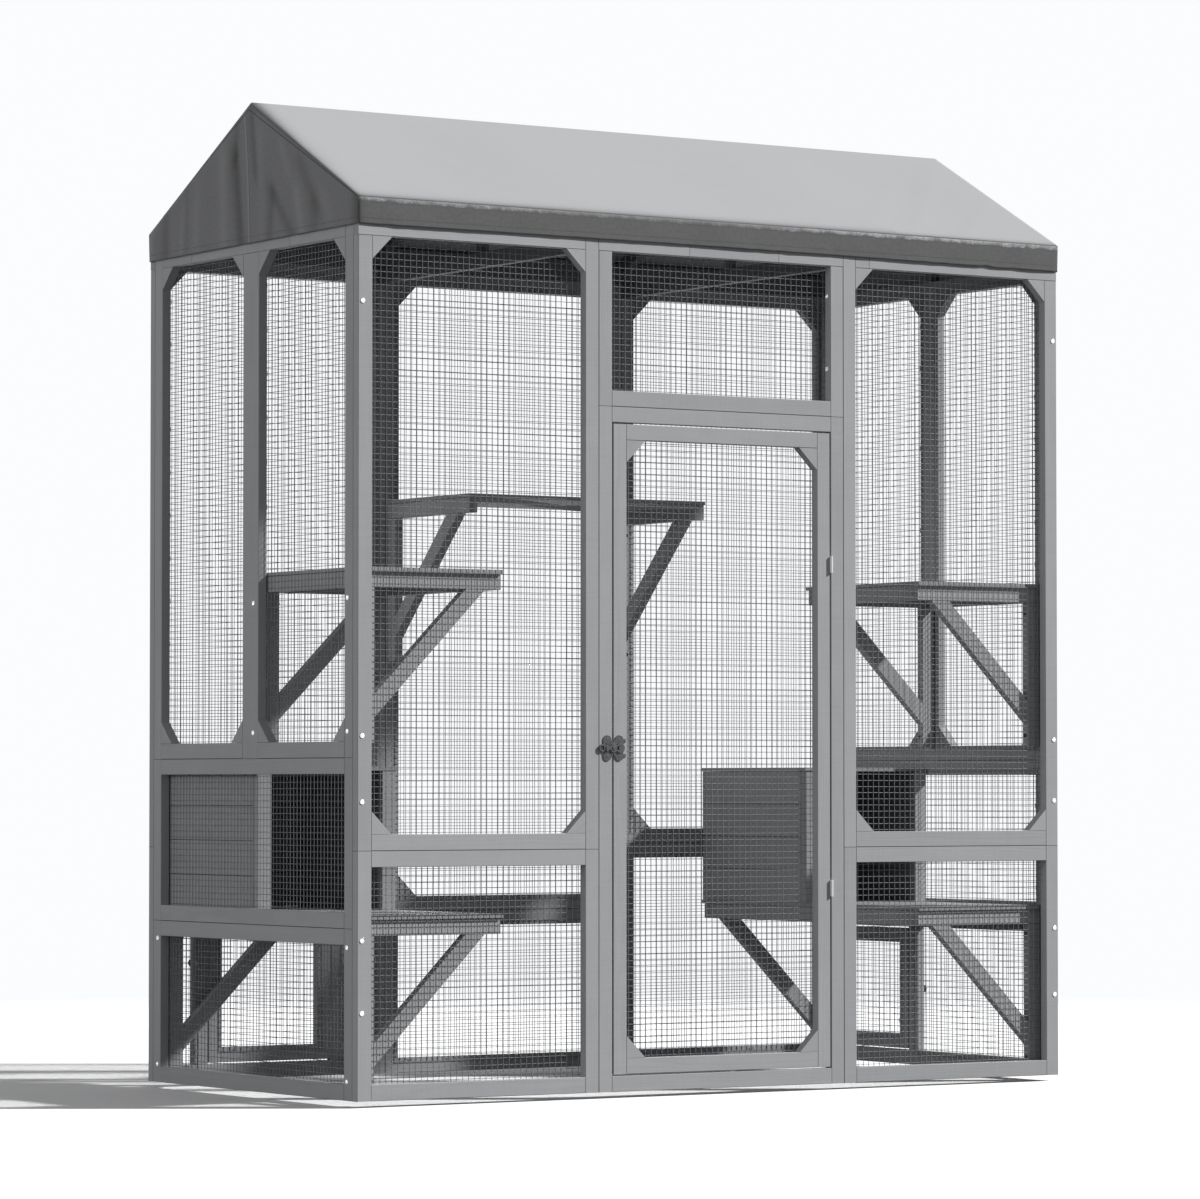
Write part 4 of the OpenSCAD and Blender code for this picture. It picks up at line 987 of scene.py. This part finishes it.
# Folds of the ends, with y towards the back: y and z of both ends, width, and height or
# depth in mm. They gather below the ridge and fan out to the hem
END_FOLDS = [
    (0.055, 1.90, 0.032, 1.72, 0.018, -4.0), (-0.012, 1.975, -0.028, 1.87, 0.012, -2.6),
    (0.042, 1.98, 0.060, 1.90, 0.010, -1.8), (-0.180, 1.72, -0.100, 1.815, 0.014, -2.6),
    (-0.085, 1.72, -0.095, 1.80, 0.014, -2.2), (-0.275, 1.77, -0.215, 1.86, 0.016, -2.2),
    (-0.265, 1.72, -0.262, 1.77, 0.016, -1.6), (0.355, 1.72, 0.350, 1.80, 0.018, -2.4),
    (0.260, 1.73, 0.262, 1.85, 0.010, -1.0), (-0.425, 1.72, -0.425, 1.79, 0.012, -3.0),
    (-0.222, 1.72, -0.200, 1.80, 0.014, 2.0), (0.100, 1.74, 0.105, 1.90, 0.016, 1.6),
    (0.285, 1.72, 0.275, 1.81, 0.010, 1.4), (0.220, 1.72, 0.215, 1.82, 0.014, 1.2),
    (0.418, 1.72, 0.412, 1.78, 0.012, 2.0), (-0.160, 1.86, -0.140, 1.90, 0.012, 1.4),
    (-0.060, 1.74, -0.052, 1.93, 0.016, 0.8), (-0.300, 1.80, -0.330, 1.74, 0.014, 0.8),
]


# A fold's ends die away over this many metres, and it is nothing beyond so many widths
FOLD_END = 0.030
FADED = 2.5


def folds_at(folds, u, v):
    """Sum of the folds at a place, in their own unit: each is a soft ridge or valley."""
    total = 0.0
    for u0, v0, u1, v1, width, height in folds:
        run = math.hypot(u1 - u0, v1 - v0)
        t = ((u - u0) * (u1 - u0) + (v - v0) * (v1 - v0)) / run ** 2
        past = max(0.0, -t, t - 1.0) * run / FOLD_END
        off = ((u - u0) * (v1 - v0) - (v - v0) * (u1 - u0)) / run / width
        if past < FADED and abs(off) < FADED:
            total += height * math.exp(-past ** 2 - off ** 2)
    return total


def hem_front(x):
    """Height of the hem along the front: higher in the middle, with one small flip."""
    flip = 2.4 * math.exp(-((x - 0.675) / 0.012) ** 2) - 1.2 * math.exp(-((x - 0.705) / 0.016) ** 2)
    return HEM_Z + (1.2 * math.cos(2.86 * x) - 1.2 * x + flip) * MM


def hem_back(x):
    """Height of the hem along the back: it hangs lower, in slow waves."""
    return HEM_Z + (0.8 * math.sin(9.0 * x) - 3.5) * MM


def hem_end(side, y):
    """Height of the hem along an end, from the front's to the back's."""
    share = (y + EAVE_Y) / (2 * EAVE_Y)
    return hem_front(side * END_X) * (1 - share) + hem_back(side * END_X) * share


def section(side, far, hem):
    """Point (y, z) of the plain cross-section and its outward normal, `far` along the
    cloth from the ridge, with the eave rounded over."""
    past = far - SLOPE
    if abs(past) < TANGENT:
        angle = LEAN + (math.pi / 2 - LEAN) * (past + TANGENT) / (2 * TANGENT)
        back = EAVE_ROUND / (1 + math.sin(LEAN))
        y = EAVE_Y - (1 + math.sin(LEAN)) * back + EAVE_ROUND * math.sin(angle)
        z = EAVE_Z - math.cos(LEAN) * back + EAVE_ROUND * math.cos(angle)
    elif past < 0:
        angle = LEAN
        y, z = far * math.cos(LEAN), RIDGE_Z - far * math.sin(LEAN)
    else:
        angle = math.pi / 2
        y, z = EAVE_Y, EAVE_Z - past / DROP * (EAVE_Z - hem)
    return side * y, z, side * math.sin(angle), math.cos(angle)


def rounded(near, outer):
    """How far the end's rounded fold draws in along x and down into the panel, at that
    distance from its edge on the outer strip or on the end panel."""
    turn = math.pi / 4 * (1 + min(1.0, near / END_ROUND) * (1 if outer else -1))
    return END_ROUND * (1 - math.cos(turn)), END_ROUND * (1 - math.sin(turn))


# The cloth lies still this near to the frame below it, in metres: along the trusses at the
# ends and beside the ridge and the eaves. Hanging corners draw in over CORNER_REACH
STILL_END = 0.030
STILL_RIDGE = 0.050
STILL_EAVE = 0.030
STILL_CORNER = 0.050
CORNER_REACH = 0.030
# How far it sags between the trusses
SAG = 0.004


def roof_surface(x, s):
    """Point of the cover's outer face at x, and s along the cloth from the ridge."""
    side, far = (-1.0 if s < 0 else 1.0), abs(s)
    hem = hem_front(x) if side < 0 else hem_back(x)
    y, z, ny, nz = section(side, far, hem)
    near = END_X - abs(x)
    if far <= SLOPE:
        k = 0 if x < TRUSSES[1] else 1 if x < TRUSSES[2] else 2
        span = (x - TRUSSES[k]) / (TRUSSES[k + 1] - TRUSSES[k])
        rise = 1 - far / SLOPE
        free = (min(1.0, near / STILL_END) * min(1.0, (SLOPE - far) / STILL_EAVE)
                * min(1.0, far / STILL_RIDGE))
        lift = -SAG * math.sin(math.pi * rise) * math.sin(math.pi * span) ** 2
        lift += free * (folds_at(SLOPE_FOLDS, x, s) + 0.4 * noise.noise((x * 9, s * 14, 2.0))) * MM
    else:
        # The hanging edge waves along its length, leans in a little, most at the corners
        hang = (far - SLOPE) / DROP
        free = min(1.0, near / STILL_CORNER) * hang
        drawn = math.exp(-near / CORNER_REACH)
        wave = 0.3 * math.sin(15.7 * x + (0.0 if side < 0 else 2.1)) + 0.2 * math.sin(40 * x + 0.7)
        lift = free * (1.1 * wave + 0.6 * noise.noise((x * 30, hang, side * 5.0))) * MM
        lift -= hang * (0.8 + 1.8 * drawn) * MM
        z -= free * 0.8 * noise.noise((x * 38, side, 1.0)) * MM
    if near < END_ROUND:
        inset, drop = rounded(near, True)
        x, lift = math.copysign(END_X - inset, x), lift - drop
    if far > SLOPE:
        x -= math.copysign(1.8 * MM * hang * drawn, x)
    return Vector((x, y + ny * lift, z + nz * lift))


def end_gaps(y, z):
    """Distances of a place on an end from the slope's edge and from the nearer corner."""
    level = RIDGE_Z - abs(y) * math.tan(LEAN)
    return max(0.0, level - z) * math.cos(LEAN), max(0.0, EAVE_Y - abs(y))


def end_folds(side, y, z):
    """The far end hangs like the near one seen in a mirror, a little shifted."""
    return folds_at(END_FOLDS, y if side < 0 else 0.02 - y, z)


def end_surface(side, y, z):
    """Point of an end's outer face, hanging in soft folds from the rounded slope."""
    slope_gap, corner_gap = end_gaps(y, z)
    near = min(slope_gap, corner_gap)
    free = min(1.0, near / 0.02)
    ripple = 0.5 * noise.noise((y * 16, z * 5, side * 2.0))
    out = free * (1.4 + 0.75 * end_folds(side, y, z) + ripple) * MM
    hang = max(0.0, (EAVE_Z - z) / DROP)
    out -= hang * (0.6 + 1.2 * math.exp(-corner_gap / CORNER_REACH)) * MM
    if hang > 0:
        z = EAVE_Z - hang * (EAVE_Z - hem_end(side, y))
    # It lies no deeper than 3 mm, on the truss
    x = END_X + max(out, -3.0 * MM)
    if near < END_ROUND:
        inset, drop = rounded(near, False)
        x -= inset
        if slope_gap < corner_gap:
            y -= math.copysign(math.sin(LEAN) * (drop - near), y)
            z -= math.cos(LEAN) * (drop - near)
        else:
            y -= math.copysign(drop - near, y)
    return Vector((side * x, y, z))


# Painted light: the share of the full light on the sunny slope, in its shade, and along the
# left fold and the eaves, and how light the ends are painted on the scale that this sets up
FULL_SUN = 0.417
SHADE = 0.12
LEFT_FOLD_LIGHT = 0.14
EAVE_LIGHT = 0.36
GABLE_PAINTED_LIGHT = 0.27
# The left fold's painted dark edge is widest at the ridge and narrows this far down, in metres
NARROWED = 0.24
# Painted shade darkens the corner folds by up to half, over 6 mm
CORNER_SHADE = 0.5
CORNER_SHADE_REACH = 0.006


def strip_painted_light(x, s):
    """Painted light of the cloth, 1 on the lit roof and 0 on the shaded hanging edge: painted
    shade darkens the left end's fold and the eaves."""
    far = abs(s)
    if far > SLOPE:
        return 0.0
    share = min(1.0, far / NARROWED)
    reach = 0.025 - 0.016 * share - 0.005 * max(0.0, (far - NARROWED) / (SLOPE - NARROWED))
    left = 1 - math.exp(-((END_X + x) / reach) ** (2.0 - 1.2 * share))
    eave = 1 - math.exp(-(SLOPE - far) / (0.010 if x < 0.45 else 0.006))
    light = FULL_SUN * (LEFT_FOLD_LIGHT + (1 - LEFT_FOLD_LIGHT) * left)
    light *= EAVE_LIGHT + (1 - EAVE_LIGHT) * eave
    return max(0.0, min(1.0, (light - SHADE) / (FULL_SUN - SHADE)))


def corner_shade(corner_gap):
    """How much painted shade darkens the cloth at that distance from a corner fold."""
    return CORNER_SHADE * math.exp(-corner_gap / CORNER_SHADE_REACH)


def strip_mottle_and_shade(x, s):
    """A random mottle on the hanging edge, and painted shade in its corner folds."""
    if abs(s) < SLOPE:
        return 0.0
    return 0.12 * noise.noise((x * 9, s * 30, 4.0)) - corner_shade(END_X - abs(x))


def end_fold_shading(side, y, z):
    """Painted highlights on the ridges and painted shade in the valleys of an end's folds, a random mottle,
    and painted shade in its corner folds.
    """
    worn = end_folds(side, y, z) / 4.0 + 0.10 * noise.noise((y * 20, z * 9, side))
    return worn - corner_shade(end_gaps(y, z)[1])


def steps(start, end, pitch, near_start=(0.003,), near_end=(0.003,)):
    """Even stations from start to end, with more of them close to either end."""
    low, high = start + near_start[-1], end - near_end[-1]
    count = max(2, round((high - low) / pitch))
    inner = [low + (high - low) * i / count for i in range(count + 1)]
    return [start, *(start + n for n in near_start[:-1]), *inner,
            *(end - n for n in reversed(near_end[:-1])), end]


# The grid that the cloth is drawn on: pitch on the slopes, pitch on the hanging parts, and
# closer stations in the folded ends and the eaves; and how far the hem is sewn up
GRID = 0.0092
HANGING_GRID = 0.0065
END_STATIONS = (0.002, 0.0045, 0.008)
EAVE_STATIONS = (0.0025, 0.0050, 0.0085)
HEM = 0.012


def cover_mesh():
    """The cover's cloth: one strip over both slopes, sewn to an end at either side, on
    shared vertices, and thickened inwards."""
    work = bmesh.new()
    bleach = work.verts.layers.float.new("bleach")
    crease = work.verts.layers.float.new("crease")
    cut = work.loops.layers.uv.new("cut")
    edges = work.loops.layers.uv.new("edges")
    seams = work.loops.layers.uv.new("seams")
    columns = steps(-END_X, END_X, GRID, END_STATIONS, END_STATIONS)
    slope = steps(0.0, SLOPE, GRID, near_end=EAVE_STATIONS)
    fall = steps(0.0, DROP, HANGING_GRID, near_start=EAVE_STATIONS)[1:]
    far = slope + [SLOPE + f for f in fall]
    stations = [-f for f in reversed(far[1:])] + far

    # pale carries the painted light, worn the painted shade and highlights of the folds
    def point(place, pale, worn):
        made = work.verts.new(place)
        made[bleach], made[crease] = pale, worn
        return made

    strip = [[point(roof_surface(x, s), strip_painted_light(x, s), strip_mottle_and_shade(x, s)) for s in stations]
             for x in columns]

    def mark(face, corners, plain):
        face.smooth = True
        for loop, corner in zip(face.loops, corners):
            loop[cut].uv, loop[edges].uv, loop[seams].uv = plain(*corner)

    def on_strip(x, s):
        """Place on the cut cloth, and distances from the eave, the hem and, far away, the
        seams of the ends."""
        return (x, s), (SLOPE - abs(s), SLOPE + DROP - abs(s) - HEM), (1.0, 1.0)

    for i in range(len(columns) - 1):
        for j in range(len(stations) - 1):
            turns = ((i, j), (i + 1, j), (i + 1, j + 1), (i, j + 1))
            face = work.faces.new([strip[a][b] for a, b in turns])
            mark(face, [(columns[a], stations[b]) for a, b in turns], on_strip)

    # Ends: row k runs between the slope's stations k on either side, then the hanging part
    top = len(slope) - 1
    half = len(far) - 1
    ways = [s * math.cos(LEAN) for s in slope]
    heights = [RIDGE_Z - s * math.sin(LEAN) for s in slope] + [EAVE_Z - f for f in fall]
    for side, column in ((-1, 0), (1, len(columns) - 1)):
        rim = strip[column]

        def on_end(y, z, side=side):
            """The same for an end: its cut piece lies 3 m from the strip's, far from the eave
            seam, and its centre seam bends 16 mm sideways on its way up to the ridge."""
            sewn = end_gaps(y, z)[0] - stitch_inset(abs(y) / math.cos(LEAN))
            back = y * (1 if side < 0 else -1)
            centre = back - 0.016 * max(0.0, (z - 1.74) / 0.23) ** 2
            return (y + 3.0 * side, z), (1.0, z - HEM_Z - HEM), (sewn, centre)

        rows = []
        for k, z in enumerate(heights):
            reach = min(k, top)
            row = {}
            for j in range(-reach, reach + 1):
                y = math.copysign(ways[abs(j)], j) if j else 0.0
                if abs(j) == reach:
                    row[j] = (rim[half + (k if j > 0 else -k)], y, z)
                else:
                    row[j] = (point(end_surface(side, y, z), GABLE_PAINTED_LIGHT, end_fold_shading(side, y, z)), y, z)
            rows.append(row)
        for upper, lower in zip(rows, rows[1:]):
            for j in range(min(lower), max(lower)):
                ring = [lower[j], lower[j + 1]] + [upper[i] for i in (j + 1, j) if i in upper]
                if side < 0:
                    ring = ring[::-1]
                face = work.faces.new([v for v, _, _ in ring])
                mark(face, [(y, z) for _, y, z in ring], on_end)
    work.normal_update()
    mesh = finished(work, "roof_cover_cloth")
    mesh.materials.append(CLOTH)
    mesh.materials.append(LINING)
    holder = linked("cloth_sheet", mesh)
    thick = holder.modifiers.new("cloth", "SOLIDIFY")
    thick.thickness = CLOTH_T
    thick.offset = -1.0
    thick.use_even_offset = True
    thick.use_rim = True
    thick.material_offset = 1
    solid = settled(holder, thick)
    bpy.data.objects.remove(holder)
    solid.name = "roof_cover_cloth"
    return solid


# The stitches' pitch, how far they stand off the cloth, where the row at the eave runs
# below it, how far the rows stop short of the ends, and where those of the ends start and
# finish below the ridge
STITCH_PITCH = 5.2 * MM
STITCH_RISE = 0.08 * MM
EAVE_ROW = 11.5 * MM
ROW_END = 10 * MM
END_ROW = (0.022, 0.42)


def stitch_inset(s):
    """How far the sewn line of an end lies inside the slope's edge, s below the ridge."""
    return 0.0134 - 0.0245 * s


def stitch_shape():
    """One stitch 3.4 mm long: a low bead with drawn-in ends, its back on z = 0."""
    work = bmesh.new()
    rings = []
    for x, r in ((-1.7, 0.10), (-1.2, 0.34), (0.0, 0.42), (1.2, 0.34), (1.7, 0.10)):
        rings.append([work.verts.new((x * MM, r * math.cos(a) * MM, (r * math.sin(a) * 0.8 + 0.05) * MM))
                      for a in (math.radians(60 * k) for k in range(6))])
    for face in lofted(work, rings):
        face.smooth = True
    return finished(work, "stitch_shape", outwards=True)


def stitch_line(surface, start, end):
    """Places of the stitches along a straight line in a panel's own directions: each runs
    over the middle seven tenths of its share of the line."""
    start, end = Vector(start), Vector(end)
    count = max(1, round((end - start).length / STITCH_PITCH))
    step = (end - start) / count
    beside = Vector((-step.y, step.x)).normalized() * 2 * MM
    places = []
    for i in range(count):
        a, b = start + step * (i + 0.15), start + step * (i + 0.85)
        middle = surface(*((a + b) / 2))
        along = surface(*b) - surface(*a)
        out = along.cross(surface(*((a + b) / 2 + beside)) - middle)
        # Outwards is away from the middle of the enclosure, some way below the roof
        if out.dot(middle - Vector((0, 0, 1.2))) < 0:
            out.negate()
        places.append((middle + out.normalized() * STITCH_RISE, frame_turn(along, out)))
    return places


def all_stitches():
    """One row below the eave's rubbed band and one along the hem, on all four sides, and
    one down either slope of both ends."""
    places = []
    for side in (-1, 1):
        for s in (SLOPE + EAVE_ROW, SLOPE + DROP - HEM):
            places += stitch_line(roof_surface, (ROW_END - END_X, side * s), (END_X - ROW_END, side * s))
    for end in (-1, 1):
        def panel(y, z, end=end):
            return end_surface(end, y, z)
        places += stitch_line(panel, (ROW_END - EAVE_Y, HEM_Z + HEM), (EAVE_Y - ROW_END, HEM_Z + HEM))
        for side in (-1, 1):
            line = []
            for s in END_ROW:
                inset = stitch_inset(s)
                line.append((side * (s * math.cos(LEAN) - inset * math.sin(LEAN)),
                             RIDGE_Z - s * math.sin(LEAN) - inset * math.cos(LEAN)))
            places += stitch_line(panel, *line)
    return places


cover = linked("roof_cover_cloth", cover_mesh())
stitches = linked("roof_cover_stitches", planted(
    "roof_cover_stitches", all_stitches(), stitch_shape(), THREAD, 9, spread=0.12))
seat(cover, "enclosure", "cover_fabric", "roof_cover")
seat(stitches, "enclosure", "cover_fabric")

# Screws and nuts

# Turned heads as (radius, height) in mm, from the rim up and in to the middle
PAN_HEAD = [(4.9, 0.0), (4.9, 0.8), (4.7, 1.25), (4.2, 1.5),
            (2.65, 1.7), (2.5, 1.7), (1.1, 1.75), (0.55, 1.75)]
FLAT_HEAD = [(3.4, 0.0), (3.3, 0.16), (3.0, 0.22), (1.85, 0.22), (1.7, 0.22), (0.8, 0.2), (0.4, 0.2)]
NUT = [(4.5, 0.0), (4.5, 3.0), (4.0, 3.5), (2.7, 3.5), (2.5, 3.2), (2.5, 4.8), (2.1, 5.2)]

# The screws along the walls, in mm: up both corners of the front and the back, into the high
# shelf's legs, and into the legs of the low and the middle shelves
CORNER_U, CORNER_Z = (10, 1730), (172, 314, 586, 716, 1572)
HIGH_U, HIGH_Z = (577, 1163), (908, 1171)
LOW_U, LOW_Z = (40.4, 819.6), (37, 300)
MIDDLE_U, MIDDLE_Z = (40.4, 417), (725, 988)
# Two more tie the transom to the right column, on the inner side of its stile
TRANSOM_U, TRANSOM_Y, TRANSOM_Z = 1142.8, 13.5, (1488, 1640)
# A nut lies this deep, on a shelf's leg
NUT_Y = 55.4

screws = [(wall, u, z) for wall in ("front", "back") for u in CORNER_U for z in CORNER_Z]
into_legs = [("back", u, z) for u in HIGH_U for z in HIGH_Z]
into_legs += [(wall, u, z) for wall in ("left", "right")
              for us, zs in ((LOW_U, LOW_Z), (MIDDLE_U, MIDDLE_Z)) for u in us for z in zs]
screws += into_legs

chance = random.Random(77)
heads = [(wall_place(wall, u, 0, z), turn_to(wall_way(wall, (0, -1, 0)), chance.uniform(0, 6.28)))
         for wall, u, z in screws]
heads += [(wall_place("front", TRANSOM_U, TRANSOM_Y, z), turn_to((-1, 0, 0), chance.uniform(0, 6.28)))
          for z in TRANSOM_Z]
mesh = planted("panel_screw_heads", heads, lathe_shape("pan_head", PAN_HEAD, 16, cross=1.2), BRIGHT_ZINC, 3)
seat(linked("panel_screw_heads", mesh), "enclosure", "screw_steel", "panel_screws")

nuts = [(wall_place(wall, u, NUT_Y, z), turn_to(wall_way(wall, (0, 1, 0)), chance.uniform(0, 6.28)))
        for wall, u, z in into_legs]
mesh = planted("bracket_nuts", nuts, lathe_shape("machine_nut", NUT, 6, flats=True), BLACKENED, 4)
seat(linked("bracket_nuts", mesh), "enclosure", "screw_steel")

# Hinges and latches


def soften(node, finish, slot, width):
    """A copy of a metal node with its sharp edges rounded over, `width` mm wide."""
    work = bmesh.new()
    work.from_mesh(frame["nodes"][node].data)
    bmesh.ops.remove_doubles(work, verts=work.verts, dist=0.01 * MM)
    bmesh.ops.dissolve_limit(work, angle_limit=0.02, verts=work.verts, edges=work.edges)
    for face in work.faces:
        face.smooth = False
    mesh = finished(work, node + "_metal")
    mesh.materials.append(finish)
    piece = linked(node + "_metal", mesh)
    rounding = piece.modifiers.new("rounding", "BEVEL")
    rounding.width = width * MM
    rounding.segments = 2
    rounding.limit_method = "ANGLE"
    rounding.angle_limit = math.radians(40)
    rounding.harden_normals = False
    piece.data = settled(piece, rounding)
    return seat(piece, body_of(node), slot, node)


for node in ("fixed_hinge_leaves", "main_door_hinge_leaves", "back_pet_door_hinge_leaves",
             "end_pet_door_hinge_leaves"):
    soften(node, ENAMEL, "hinge_steel", 0.25)
for node in ("latch_keepers", "main_latch_plate", "back_pet_latch_plate", "end_pet_latch_plate",
             "main_latch_lever", "back_pet_latch_lever", "end_pet_latch_lever"):
    soften(node, CHARCOAL, "latch_metal", 0.3)


def shaded_slot_floors(name, outlines, depth, wall, u, z):
    """Thin dark floors of painted shade for the slots of a latch: outlines round (u, z), in front of
    the wall by that depth, in mm."""
    work = bmesh.new()
    for outline in outlines:
        rings = [[work.verts.new((a * MM, y * MM, b * MM)) for a, b in outline]
                 for y in (-depth - SLOT_SHADE_T, -depth)]
        lofted(work, rings)
    mesh = finished(work, name, outwards=True)
    mesh.transform(Matrix.Translation((u * MM, 0, z * MM)))
    mesh.materials.append(SLOT_SHADE)
    return linked(name, on_wall(mesh, wall))


def round_line(u, z, radius, sides=20):
    """A circle as an outline."""
    turns = [2 * math.pi * k / sides for k in range(sides)]
    return [(u + radius * math.cos(turn), z + radius * math.sin(turn)) for turn in turns]


def box_line(u0, z0, u1, z1):
    """A rectangle as an outline, from corner to corner."""
    return [(u0, z0), (u1, z0), (u1, z1), (u0, z1)]


# The latches and their walls, by the bodies of their levers
LATCHES = {
    "walk_in_latch": ("main_latch", "front"), "back_small_latch": ("back_pet_latch", "back"),
    "end_small_latch": ("end_pet_latch", "right"),
}
# Places on a latch in mm from its pivot: screws in the plates' lobes, the hole behind the
# pivot, both round notches of the post plate and its slot, and the hole in the lever's ring
LOBE_U, LOBE_Z = 14.5, 16.5
DOOR_SLOT = round_line(11.5, 0.0, 4.6)
POST_SLOTS = [round_line(-16.7, 8.0, 2.3), round_line(-16.7, -8.0, 2.3), box_line(-15.0, -10.4, -2.2, -9.4)]
RING_HOLE = box_line(-31.9, -3.9, -24.1, 3.9)
# How far the plates' faces, the floors of the slots and that of the ring stand off the
# wall, and the floors' thickness
PLATE_FACE = 2.1
SLOT_FLOOR = 2.14
RING_FLOOR = 3.24
SLOT_SHADE_T = 0.06

for joint in frame["record"]["behaviour"]["joints"]:
    if joint["child"] not in LATCHES:
        continue
    name, wall = LATCHES[joint["child"]]
    pivot = WALLS[wall].inverted() @ Vector(joint["pos_m"]) / MM
    u, z = round(pivot.x, 1), round(pivot.z, 1)
    door, lever = joint["parent"], joint["child"]
    out = wall_way(wall, (0, -1, 0))
    for tail, side, body in (("door", 1, door), ("post", -1, "enclosure")):
        spots = [(wall_place(wall, u + side * LOBE_U, -PLATE_FACE, z + rise),
                  turn_to(out, chance.uniform(0, 6.28))) for rise in (-LOBE_Z, LOBE_Z)]
        mesh = planted(name + "_" + tail + "_screws", spots,
                       lathe_shape("flat_head", FLAT_HEAD, 16, cross=0.16), CHARCOAL, 5)
        seat(linked(mesh.name, mesh), body, "latch_metal")
    for tail, outlines, depth, body in (("post_slots", POST_SLOTS, SLOT_FLOOR, "enclosure"),
                                        ("door_slot", [DOOR_SLOT], SLOT_FLOOR, door),
                                        ("ring_floor", [RING_HOLE], RING_FLOOR, lever)):
        seat(shaded_slot_floors(name + "_" + tail, outlines, depth, wall, u, z), body, "latch_metal")

# Stage and light

# The rails clear the paper by this much, so that it shows their shadow below them
CLEARANCE = 0.013
# The paper is a disc that fades out between these distances from its middle, in metres
PAPER_RADIUS = 5.0
FADE_START, FADE_END = 3.2, 4.8
# Its fibres in mm
PAPER_FIBRE = 3.33


def background_rays(tree, *kinds):
    """1 on camera rays and on rays of these kinds, which all show the white background."""
    path = add(tree, "ShaderNodeLightPath")
    seen = path.outputs["Is Camera Ray"]
    for kind in kinds:
        seen = add(tree, "ShaderNodeMath", {"operation": "MAXIMUM"}, {0: seen, 1: path.outputs[kind]})
    return seen


def seamless_paper():
    """White background paper: matt, with a faint fibre. It looks white to the camera and
    throws a darker grey back onto the enclosure, so that it keeps its shadow."""
    finish, tree = blank("seamless_paper")
    place = add(tree, "ShaderNodeTexCoord").outputs["Object"]
    fibre = add(tree, "ShaderNodeTexNoise", None, {
        "Vector": place, "Scale": 1000 / PAPER_FIBRE, "Detail": 3.0})
    shade = add(tree, "ShaderNodeMix", {"data_type": "RGBA"}, {
        "Factor": background_rays(tree, "Is Glossy Ray")})
    shade.inputs["A"].default_value = tint("#5c5d5f")
    shade.inputs["B"].default_value = tint("#ffffff")
    mottled = add(tree, "ShaderNodeMix", {"data_type": "RGBA", "blend_type": "MULTIPLY"}, {
        "Factor": 0.02, "A": shade.outputs["Result"], "B": fibre.outputs["Color"]})
    matt = add(tree, "ShaderNodeBsdfDiffuse", None, {"Color": mottled.outputs["Result"]})
    away = add(tree, "ShaderNodeVectorMath", {"operation": "LENGTH"}, {0: place}).outputs["Value"]
    fade = add(tree, "ShaderNodeMapRange", {"interpolation_type": "SMOOTHSTEP"}, {
        "Value": away, "From Min": FADE_START, "From Max": FADE_END})
    clear = add(tree, "ShaderNodeBsdfTransparent")
    close(tree, add(tree, "ShaderNodeMixShader", None, {0: fade.outputs["Result"], 1: matt, 2: clear}))
    return finish


work = bmesh.new()
bmesh.ops.create_circle(work, cap_ends=True, radius=PAPER_RADIUS, segments=96)
floor_mesh = finished(work, "paper_floor")
floor_mesh.materials.append(seamless_paper())
floor_mesh.transform(Matrix.Translation((0, 0, -CLEARANCE)))
floor = linked("paper_floor", floor_mesh)


def sun(name, energy, spread, way):
    """A sun lamp of that strength, `spread` degrees wide, shining along `way`."""
    data = bpy.data.lights.new(name, "SUN")
    data.energy = energy
    data.angle = math.radians(spread)
    lamp = linked(name, data)
    lamp.rotation_euler = Vector(way).to_track_quat("-Z", "Y").to_euler()


sun("key_light", 5.1, 3.0, (-0.72, 0.45, -0.62))
sun("soft_fill", 0.80, 30.0, (0.95, 0.10, -0.20))
# The back gets a gentle light of its own, level and a little from its right
sun("back_fill", 0.7, 30.0, (-0.45, -1.0, -0.03))

# The room: plain white to the eye, and a weak even light on the enclosure
studio = bpy.data.worlds.new("white_studio")
bpy.context.scene.world = studio
studio.use_nodes = True
tree = studio.node_tree
tree.nodes.clear()
soft = add(tree, "ShaderNodeBackground", None, {"Color": tint("#fbfcfe"), "Strength": 0.215})
white = add(tree, "ShaderNodeBackground", None, {"Color": tint("#fbfcfe"), "Strength": 1.0})
mixed = add(tree, "ShaderNodeMixShader", None, {
    0: background_rays(tree, "Is Glossy Ray", "Is Transmission Ray"), 1: soft, 2: white})
add(tree, "ShaderNodeOutputWorld", None, {"Surface": mixed})

bpy.context.scene.view_settings.view_transform = "Standard"
